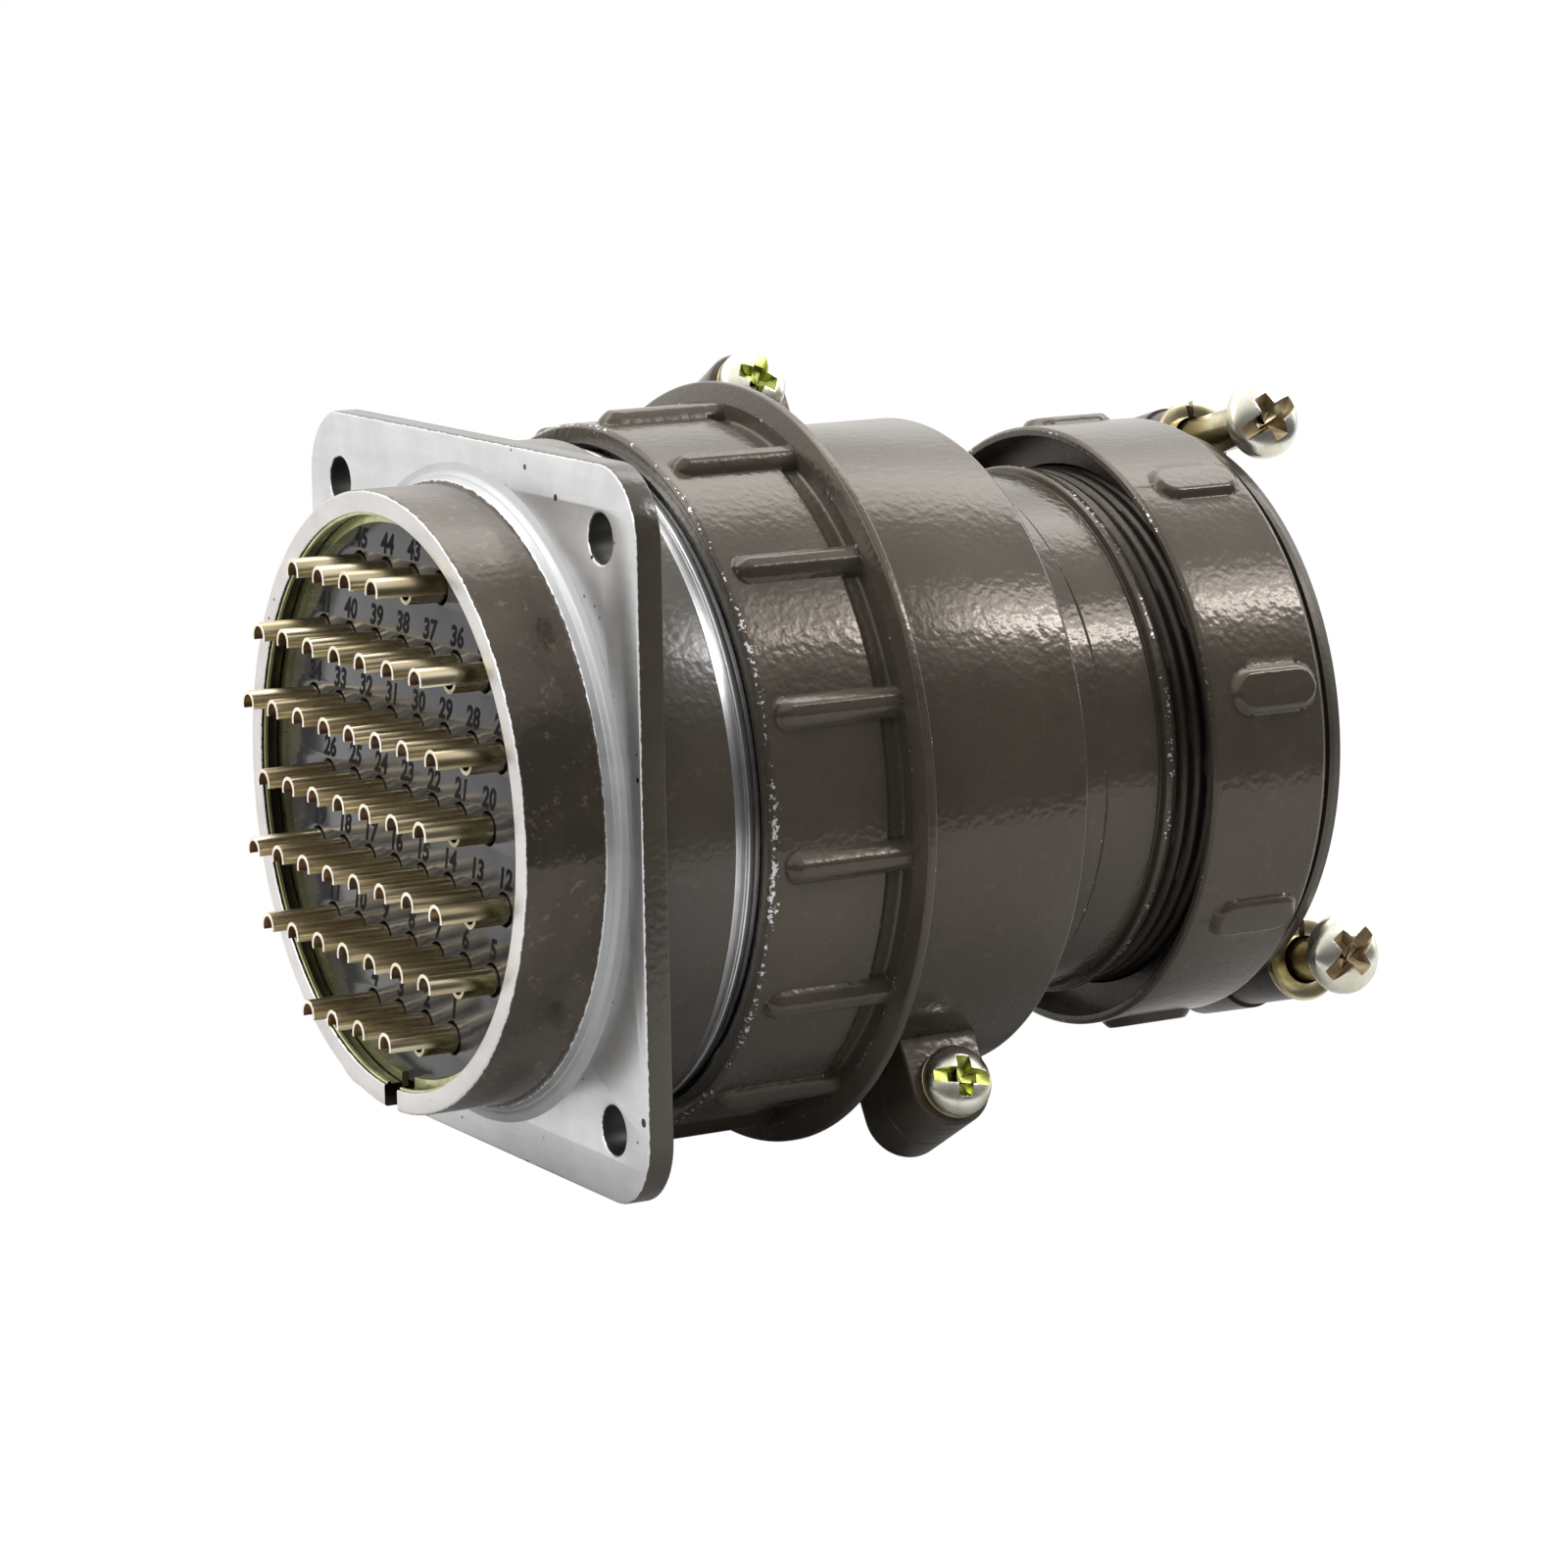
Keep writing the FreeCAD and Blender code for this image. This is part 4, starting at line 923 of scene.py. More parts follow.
def bare(name, base, rough, pits=0.5, strength=0.12, turned_marks=0.0):
    """Bare cast or turned aluminium that has been handled."""
    material, tree, shader = new_material(name)
    wear = use_group(tree, "handled_metal", Pits=pits, Turned=turned_marks)
    feed(tree, shader, {
        "Base Color": bare_colour(tree, wear, base, 0.88, 1.08),
        "Metallic": 1.0,
        "Roughness": spread(tree, wear["Tone"], 0.3, 0.7, rough * 0.8, rough * 1.25),
        "Normal": bump(tree, wear["Height"], strength, 0.03)})
    return material


def plated(name, base, tint, rough, strength=0.06, streaks=1.0):
    """Plated metal with a slow change of tint, drawn out along the axis."""
    material, tree, shader = new_material(name)
    where = object_place(tree)
    along = (streaks, 1.0, 1.0)
    cloud = noise(tree, where, 420.0, 3.0, 0.6, along)
    feed(tree, shader, {
        "Base Color": mix_colour(tree, spread(tree, cloud, 0.35, 0.65), (*base, 1.0), (*tint, 1.0)),
        "Metallic": 1.0,
        "Roughness": spread(tree, cloud, 0.2, 0.8, rough * 0.7, rough * 1.4),
        "Normal": bump(tree, noise(tree, where, 3200.0, 2.0, 0.5, along), strength, 0.02)})
    return material


def moulded(name, base, rough, strength=0.05, gloss=0.5):
    """Moulded plastic or rubber with a fine skin."""
    material, tree, shader = new_material(name)
    where = object_place(tree)
    cloud = noise(tree, where, 180.0, 3.0, 0.6)
    tone = spread(tree, cloud, 0.3, 0.7)
    feed(tree, shader, {
        "Base Color": mix_colour(tree, tone, shade(base, 0.85), shade(base, 1.15)),
        "Roughness": spread(tree, cloud, 0.2, 0.8, rough * 0.8, rough * 1.25),
        "Specular IOR Level": gloss,
        "Normal": bump(tree, noise(tree, where, 1500.0), strength, 0.03)})
    return material


def finish(name):
    """One of the connector's finishes, made when it is first asked for."""
    if name in bpy.data.materials:
        return bpy.data.materials[name]
    look = settings("finish")
    ring_front = NUT_BACK - NUT_RING_LENGTH
    makers = {
        "body_paint": lambda: painted(name, look.paint, 0.17, edges=(
            (BODY_END, BODY_RADIUS, 0.3, 0.13),
            (BODY_END + NECK_STEP_LENGTH - 0.2, NECK_RADIUS + NECK_STEP, 0.25, 0.13),
            (NECK_THREAD_START + 0.8, NECK_RADIUS + NECK_CREST, 0.45, 0.1))),
        # A much darker copy of the shell paint: painted shade on the neck thread and inside the rear nut's
        # mouth.
        "thread_painted_shade": lambda: painted(name, shade(look.paint, 0.35), 0.34, 0.3),
        "nut_paint": lambda: painted(name, look.paint, 0.17, edges=(
            (NUT_FRONT + 0.35, NUT_RADIUS - 0.1, 0.36, 0.05),
            (ring_front - NUT_RECESS - 0.2, NUT_RADIUS, 0.22, 0.14),
            (ring_front + 0.1, NUT_RING_FRONT, 0.25, 0.14),
            (NUT_BACK, NUT_RING_RADIUS, 0.2, 0.14))),
        "rear_paint": lambda: painted(name, look.paint, 0.17, edges=(
            (REAR_NUT_BACK, REAR_NUT_EDGE, 0.2, 0.12),
            (REAR_NUT_FRONT, REAR_FRONT_EDGE, 0.2, 0.13))),
        "flange_skin": lambda: painted(name, look.paint, 0.2, metal_rough=0.33, pits=0.57, sheen=WHITE,
                                       lines=((0.09, -1.0, 0.24),)),
        "collar_skin": lambda: painted(name, look.paint, 0.17, 0.3, metal_rough=0.36, turned_marks=0.6,
                                       mottle=0.34, dust=0.45, lines=(
                                           (COLLAR_RIM + 0.1, -1.0, 0.3),
                                           (-FOOT_LENGTH + 0.08, 1.0, 0.2))),
        "barrel_skin": lambda: painted(name, look.paint, 0.2, metal_rough=0.28, turned_marks=1.4,
                                       sheen=WHITE, lines=((BARREL_END - 0.08, 1.0, 0.16),)),
        "clamp_paint": lambda: painted(name, look.black_paint, 0.36),
        # A darker copy of the bare metal on the collar's foot: painted shade that dims its bright
        # reflection.
        "foot_metal_painted_shade": lambda: bare(name, shade(look.bare_metal, 0.66), 0.5, 0.4, 0.1, 0.6),
        "ring_metal": lambda: bare(name, look.bare_metal, 0.2, 0.3, 0.08, 1.0),
        "bore_metal": lambda: plated(name, (0.055, 0.052, 0.034), (0.03, 0.026, 0.022), 0.3, 0.0),
        "snap_ring": lambda: plated(name, (0.62, 0.62, 0.36), (0.42, 0.44, 0.22), 0.3, 0.0),
        "brass": lambda: plated(name, look.brass, (0.34, 0.28, 0.17), 0.24, 0.1, 0.12),
        # A dark copy of the brass for the inside of the cups: painted shade.
        "brass_inside_painted_shade": lambda: plated(name, (0.24, 0.14, 0.07), (0.10, 0.06, 0.035), 0.5),
        # A near-white copy of the brass for the end faces of the tips: a painted highlight.
        "brass_rim_painted_highlight": lambda: plated(name, (0.96, 0.93, 0.85), (0.80, 0.72, 0.56), 0.45),
        "zinc": lambda: plated(name, look.zinc, (0.66, 0.64, 0.52), 0.26),
        "zinc_yellow": lambda: plated(name, (0.66, 0.62, 0.38), (0.50, 0.40, 0.26), 0.2),
        "green_recess": lambda: plated(name, (0.44, 0.47, 0.13), (0.22, 0.25, 0.05), 0.3),
        "brown_recess": lambda: plated(name, (0.40, 0.33, 0.19), (0.20, 0.12, 0.07), 0.36),
        # Near-black walls inside the mount holes and the contact holes: painted shade.
        "hole_painted_shade": lambda: moulded(name, (0.012, 0.011, 0.009), 0.5),
        "moulding": lambda: moulded(name, look.moulding, 0.13, 0.03),
        "numerals": lambda: moulded(name, (0.002, 0.002, 0.003), 0.6, gloss=0.15),
        "rubber": lambda: moulded(name, (0.02, 0.02, 0.02), 0.6),
    }
    return makers[name]()


def thread_cut(start, end, crest, depth, pitch, lead):
    """A shape function that cuts a V thread into the outer surface between two places."""

    def shape(x, radius, angle):
        if radius < crest - 0.01 or x < start or x > end:
            return x, radius
        phase = (x - lead * angle / FULL_TURN) / pitch
        valley = abs((phase % 1.0) * 2 - 1)
        fade = min(1.0, (x - start) / (pitch * 0.5), (end - x) / (pitch * 0.5))
        return x, radius - depth * fade * valley * valley

    return shape


def faces_sideways(normal):
    """Whether a face looks away from the axis or towards it, and not along it."""
    return abs(normal.x) < 0.5


class CONNECTOR_OT_receptacle(bpy.types.Operator):
    """Makes the square flange, the collar behind it and the threaded barrel"""
    bl_idname = "connector.receptacle"
    bl_label = "Receptacle shell"

    def execute(self, context):
        place(self.flange(), "receptacle", "receptacle_shell")
        place(self.collar(), "receptacle", "receptacle_shell")
        place(self.barrel(), "receptacle", "receptacle_shell")
        return {"FINISHED"}

    def flange(self):
        half = MOUNT_PITCH / 2
        outlines = [rounded_square(FLANGE_SIDE, FLANGE_CORNER),
                    circle((COLLAR_BORE + FOOT_RADIUS) / 2, count=128)]
        for across in (-half, half):
            outlines += [circle(MOUNT_HOLE, (across, up), 40) for up in (-half, half)]
        piece = plate("receptacle_flange", outlines, 0.0, FLANGE_THICK, FLANGE_BEVEL)

        # The walls of the mount holes get the near-black painted shade.
        def rule(middle, radius, normal):
            off_centre = math.hypot(abs(middle.y) - half, abs(middle.z) - half)
            return 1 if off_centre < MOUNT_HOLE + 0.1 and faces_sideways(normal) else 0

        paint(piece, [finish("flange_skin"), finish("hole_painted_shade")], rule)
        return piece

    def collar(self):
        foot = -FOOT_LENGTH
        land = INSERT_FACE - LAND_PLACE
        land_half = LAND_WIDTH / 2
        outline = rounded([
            (COLLAR_RIM, COLLAR_BORE, 0.15),
            (COLLAR_RIM, COLLAR_RADIUS, 0.3),
            (foot, COLLAR_RADIUS, 0.08),
            (foot + 0.1, COLLAR_RADIUS + 0.35, 0.1),
            (foot + 0.75, COLLAR_RADIUS + 0.55, 0.08),
            (foot + 0.82, COLLAR_RADIUS + 0.7, 0.08),
            (-0.3, FOOT_RADIUS - 0.4, 0.7),
            (0.03, FOOT_RADIUS + 0.5),
            (FLANGE_THICK / 2, FOOT_RADIUS + 0.5),
            (FLANGE_THICK / 2, SEAT_BORE),
            (SEAT_REAR, SEAT_BORE),
            (SEAT_REAR, COLLAR_BORE),
            (INSERT_FACE, COLLAR_BORE),
            (INSERT_FACE, COLLAR_BORE + SNAP_DEPTH),
            (INSERT_FACE - SNAP_WIDTH, COLLAR_BORE + SNAP_DEPTH),
            (INSERT_FACE - SNAP_WIDTH, COLLAR_BORE),
            (land + land_half + 0.05, COLLAR_BORE),
            (land + land_half, COLLAR_BORE - LAND_RISE, 0.05),
            (land - land_half, COLLAR_BORE - LAND_RISE, 0.05),
            (land - land_half - 0.05, COLLAR_BORE),
        ])
        piece = turned_piece("receptacle_collar", outline, even_steps(COLLAR_STEPS))
        cut(piece, block("notch", (COLLAR_RIM - CLEAR, -NOTCH_WIDTH / 2, -COLLAR_RADIUS - CLEAR),
                         (COLLAR_RIM + NOTCH_DEPTH, NOTCH_WIDTH / 2, -COLLAR_BORE + CLEAR)))

        def rule(middle, radius, normal):
            if middle.x < COLLAR_RIM + 0.2:
                return 0
            if radius < COLLAR_BORE - 0.02 and middle.x < INSERT_FACE:
                return 3
            if radius < COLLAR_BORE + SNAP_DEPTH + 0.05:
                return 1
            # The foot gets the darker copy of the bare metal, painted shade.
            return 2 if middle.x > foot + 0.2 else 0

        paint(piece, [finish("collar_skin"), finish("bore_metal"), finish("foot_metal_painted_shade"),
                      finish("snap_ring")], rule)
        return piece

    def barrel(self):
        outline = rounded([
            (FLANGE_THICK / 2, FOOT_RADIUS + 0.2),
            (FLANGE_THICK, FOOT_RADIUS + 0.2),
            (FLANGE_THICK, BARREL_RADIUS, 0.2),
            (BARREL_END, BARREL_RADIUS, 0.3),
            (BARREL_END + 0.06, BARE_RADIUS + 0.22, 0.1),
            (BARREL_END + 1.35, BARE_RADIUS + 0.02, 0.08),
            (BARREL_END + 1.45, BARE_RADIUS - 0.25),
            (BARREL_END + 1.6, BARE_RADIUS - 0.25),
            (BARREL_END + 1.7, BARE_RADIUS, 0.12),
            (BARE_END, BARE_RADIUS - 0.12, 0.3),
            (BARE_END, RELIEF_RADIUS),
            (RELIEF_END, RELIEF_RADIUS),
            (RELIEF_END, THREAD_RADIUS),
            (RECEPTACLE_END - 0.3, THREAD_RADIUS),
            (RECEPTACLE_END, THREAD_RADIUS - 0.4),
            (RECEPTACLE_END, BARREL_BORE),
            (SEAT_FRONT, BARREL_BORE),
            (SEAT_FRONT, SEAT_BORE),
            (FLANGE_THICK / 2, SEAT_BORE),
        ])
        outline = refined(outline, RELIEF_END, RECEPTACLE_END - 0.2, 0.25, THREAD_RADIUS - 0.1)
        thread = thread_cut(RELIEF_END, RECEPTACLE_END, THREAD_RADIUS, THREAD_DEPTH,
                            COUPLING_LEAD / COUPLING_STARTS, COUPLING_LEAD)
        piece = turned_piece("receptacle_barrel", outline, even_steps(BARREL_STEPS), thread)
        paint(piece, [finish("barrel_skin")])
        return piece


def contact_places():
    """The (y, z) of each contact, from the top row down."""
    middle_row = (len(CONTACT_ROWS) - 1) / 2
    for row, count in enumerate(CONTACT_ROWS):
        for index in range(count):
            yield ((count - 1) / 2 - index) * CONTACT_PITCH, (middle_row - row) * CONTACT_ROW


class CONNECTOR_OT_insert(bpy.types.Operator):
    """Makes the numbered insert of the receptacle"""
    bl_idname = "connector.insert"
    bl_label = "Numbered insert"

    def execute(self, context):
        places = list(contact_places())
        holes = [circle(CONTACT_HOLE, centre, 24) for centre in places]
        wide = circle(COLLAR_BORE - INSERT_GAP, count=INSERT_STEPS)
        narrow = circle(SEAT_BORE - INSERT_GAP, count=INSERT_STEPS)
        back = plate("insert_back", [wide] + holes, INSERT_FACE, SEAT_REAR, INSERT_BEVEL)
        front = plate("insert_front", [narrow] + holes, SEAT_REAR, INSERT_END, INSERT_BEVEL)
        piece = joined("numbered_insert", [back, front])

        # The walls of the contact holes get the near-black painted shade.
        def rule(middle, radius, normal):
            return 1 if faces_sideways(normal) and radius < SEAT_BORE - INSERT_GAP - 0.3 else 0

        paint(piece, [finish("moulding"), finish("hole_painted_shade")], rule)
        place(piece, "receptacle", "receptacle_insert")
        place(self.numerals(places), "receptacle", "receptacle_insert")
        return {"FINISHED"}

    def numerals(self, places):
        """Plain numbers beside the contacts, printed on the insert's face."""
        # The numbers are read from the wiring side: their first direction is -Y.
        face = Matrix(((0, 0, -1, 0), (-1, 0, 0, 0), (0, 1, 0, 0), (0, 0, 0, 1)))
        marks = []
        for number, (across, up) in enumerate(reversed(places), start=1):
            text = bpy.data.curves.new("number", "FONT")
            text.body = str(number)
            text.size = settings("shape").numeral_size
            text.shear = NUMERAL_SLANT
            text.align_x = "CENTER"
            text.align_y = "CENTER"
            text.extrude = NUMERAL_RAISE * MM
            text.offset = NUMERAL_WEIGHT * MM
            text.resolution_u = 3
            mesh = curve_mesh("number", text)
            where = Vector((INSERT_FACE, across + NUMERAL_ACROSS, up + NUMERAL_UP)) * MM
            mesh.transform(Matrix.Translation(where) @ face)
            marks.append(new_object("number", mesh))
        piece = joined("contact_numbers", marks)
        cleaned(piece.data)
        paint(piece, [finish("numerals")])
        return piece


class CONNECTOR_OT_contacts(bpy.types.Operator):
    """Makes the solder-cup contacts of the receptacle"""
    bl_idname = "connector.contacts"
    bl_label = "Solder contacts"

    def execute(self, context):
        piece = self.contact()
        run_tree(piece, contact_rows_tree(), {
            "Pitch": CONTACT_PITCH * MM, "Row": CONTACT_ROW * MM, "Seed": LEAN_SEED,
            "Lean": settings("shape").contact_lean, "Finish": finish("brass")})
        piece.data.transform(Matrix.Translation((INSERT_FACE * MM, 0, 0)))
        centres = [Vector(centre) for centre in contact_places()]

        def rule(middle, radius, normal):
            if middle.x > CONTACT_TIP + CUP_DEPTH + 0.6:
                return 0
            # The end faces of the tips get the near-white brass, a painted highlight.
            if middle.x < CONTACT_TIP + 0.25 and normal.x < -0.6:
                return 2
            own = Vector((middle.y, middle.z))
            reach = min((own - centre).length for centre in centres)
            # Faces inside the cups get the dark brass, painted shade.
            return 1 if reach < (CUP_BORE + CONTACT_RADIUS) / 2 and normal.x > -0.9 else 0

        paint(piece, [finish("brass"), finish("brass_inside_painted_shade"), finish("brass_rim_painted_highlight")], rule)
        place(piece, "receptacle", "receptacle_contacts")
        return {"FINISHED"}

    def contact(self):
        """One contact along X, with its place in the insert's face at the origin."""
        tip = CONTACT_TIP - INSERT_FACE
        root = INSERT_END - INSERT_FACE
        end = PIN_TIP - INSERT_FACE
        outline = rounded([
            (tip, CUP_BORE, 0.05),
            (tip, CONTACT_RADIUS, 0.08),
            (root, CONTACT_RADIUS),
            (root, PIN_RADIUS),
            (end - 0.5, PIN_RADIUS, 0.3),
            (end, 0.25, 0.1),
            (end, POLE),
            (tip + CUP_DEPTH + 0.5, POLE),
            (tip + CUP_DEPTH, CUP_BORE),
        ], 2)
        piece = turned_piece("solder_contacts", outline, even_steps(CONTACT_STEPS))
        wide = CONTACT_RADIUS + CLEAR
        cut(piece, block("scoop", (tip - CLEAR, -wide, -wide), (tip + SCOOP_LENGTH, wide, SCOOP_LEVEL)))
        return piece


def rib_rise(x, across, start, end, width, flank, height):
    """Height of a round-topped rib with round ends, at a distance across its middle line."""
    half = width / 2
    beyond = max(start + half - x, x - (end - half), 0.0)
    share = (half - math.hypot(beyond, across)) / flank
    share = min(1.0, max(0.0, share))
    soft_toe = share * share * (3 - 2 * share)
    round_top = math.sqrt(share * (2 - share))
    return height * (0.45 * soft_toe + 0.55 * round_top)


def rib_angles(count, width, radius, across_steps, gap_steps):
    """Angles of one rib's sector, close together over the rib, which is at its middle."""
    sector = FULL_TURN / count
    half = math.degrees((width / 2 + 0.15) / radius)
    left = even_steps(gap_steps, -sector / 2, -half)
    over = even_steps(across_steps, -half, half)
    right = even_steps(gap_steps, half, sector / 2)
    return left + over[1:-1] + right


def ribbed_nut(name, outline, angles, rib, count, skin_name, turn):
    """A nut from one ribbed sector, repeated round the axis; turn is where its first rib stands."""
    piece = new_object(name, to_mesh(name, turned(outline, angles, rib), merge=False))
    run_tree(piece, repeat_round_tree(), {
        "Count": count, "Merge distance": SECTOR_DOUBLES * MM, "Finish": finish(skin_name)})
    piece.data.transform(tilted(turn))
    return piece


class CONNECTOR_OT_coupling_nut(bpy.types.Operator):
    """Makes the ribbed coupling nut"""
    bl_idname = "connector.coupling_nut"
    bl_label = "Coupling nut"

    def execute(self, context):
        look = settings("shape")
        ring = NUT_BACK - NUT_RING_LENGTH
        recess = ring - NUT_RECESS
        outline = rounded([
            (NUT_FRONT, NUT_MOUTH, 0.15),
            (NUT_FRONT + 0.1, NUT_RADIUS - 0.3, 0.2),
            (NUT_FRONT + 0.5, NUT_RADIUS, 0.3),
            (recess - 0.3, NUT_RADIUS, 0.3),
            (recess + 0.2, NUT_RADIUS - 0.4, 0.3),
            (ring, NUT_RADIUS - 0.4, 0.3),
            (ring + 0.1, NUT_RING_FRONT, 0.2),
            (NUT_BACK - 0.85, NUT_RING_RADIUS, 0.3),
            (NUT_BACK, NUT_RING_RADIUS, 0.22),
            (NUT_BACK, NUT_LIP_BORE, 0.2),
            (NUT_BACK - NUT_LIP, NUT_LIP_BORE),
            (NUT_BACK - NUT_LIP, NUT_THREAD),
            (NUT_FRONT + 0.8, NUT_THREAD),
        ], 4)
        rib_start = NUT_FRONT + NUT_RIB_PLACE
        nose_end = rib_start + NUT_RIB_WIDTH / 2 + 0.1

        def stations(end):
            return even_steps(13, rib_start - 0.1, nose_end) + even_steps(6, nose_end, end)[1:-1]

        outline = with_stations(outline, NUT_RADIUS, stations)
        outline = refined(outline, recess - 0.3, ring + 0.2, 0.45, NUT_RADIUS - 0.5)
        flank = look.rib_flank / MM

        def rib(x, radius, angle):
            if radius < NUT_RADIUS - 0.45 or x > ring + 0.05:
                return x, radius
            across = math.radians(angle) * NUT_RADIUS
            share = rib_rise(x, across, rib_start, ring + 9, NUT_RIB_WIDTH, flank, 1.0)
            top = NUT_RADIUS + NUT_RIB_HEIGHT * share
            return x, radius + (top - radius) * min(1.0, share * 3)

        angles = rib_angles(look.nut_ribs, NUT_RIB_WIDTH, NUT_RADIUS, 26, 7)
        piece = ribbed_nut("coupling_nut_ribbed", outline, angles, rib, look.nut_ribs,
                           "nut_paint", NUT_RIB_TURN)
        paint(piece, [finish("nut_paint")])
        place(piece, "locking_nut", "coupling_nut")
        return {"FINISHED"}


class CONNECTOR_OT_rear_nut(bpy.types.Operator):
    """Makes the rear ring nut with its closed ribs"""
    bl_idname = "connector.rear_nut"
    bl_label = "Rear ring nut"

    def execute(self, context):
        look = settings("shape")
        lip = REAR_NUT_BACK - REAR_LIP
        mouth_end = REAR_NUT_FRONT + REAR_MOUTH_DEPTH
        outline = rounded([
            (REAR_NUT_FRONT, REAR_MOUTH_RADIUS, 0.12),
            (REAR_NUT_FRONT, REAR_FRONT_EDGE, 0.15),
            (REAR_NUT_FRONT + REAR_FRONT_BEVEL, REAR_NUT_RADIUS, 0.3),
            (REAR_NUT_BACK - REAR_NUT_BEVEL, REAR_NUT_RADIUS, 0.6),
            (REAR_NUT_BACK, REAR_NUT_EDGE, 0.2),
            (REAR_NUT_BACK, REAR_LIP_BORE, 0.2),
            (lip, REAR_LIP_BORE),
            (lip, REAR_THREAD),
            (mouth_end, REAR_THREAD),
            (mouth_end, REAR_MOUTH_RADIUS),
        ], 4)
        first_nose = REAR_RIB_START + REAR_RIB_WIDTH / 2
        last_nose = REAR_RIB_END - REAR_RIB_WIDTH / 2

        def stations(end):
            return (even_steps(14, REAR_RIB_START - 0.15, first_nose)
                    + even_steps(6, first_nose, last_nose)[1:-1]
                    + even_steps(14, last_nose, REAR_RIB_END + 0.15))

        outline = with_stations(outline, REAR_NUT_RADIUS, stations)
        flank = look.rib_flank / MM * REAR_FLANK_SHARE

        def rib(x, radius, angle):
            if radius < REAR_NUT_RADIUS - 0.01:
                return x, radius
            across = math.radians(angle) * REAR_NUT_RADIUS
            return x, radius + rib_rise(x, across, REAR_RIB_START, REAR_RIB_END,
                                        REAR_RIB_WIDTH, flank, REAR_RIB_HEIGHT)

        angles = rib_angles(look.rear_ribs, REAR_RIB_WIDTH, REAR_NUT_RADIUS, 30, 10)
        piece = ribbed_nut("rear_nut_ribbed", outline, angles, rib, look.rear_ribs,
                           "rear_paint", REAR_RIB_TURN)

        # The inner wall of the mouth gets the darker paint, painted shade.
        def rule(middle, radius, normal):
            return 1 if radius < REAR_MOUTH_RADIUS + 0.1 and middle.x < lip else 0

        paint(piece, [finish("rear_paint"), finish("thread_painted_shade")], rule)
        place(piece, "rear_nut", "rear_ring_nut")
        return {"FINISHED"}


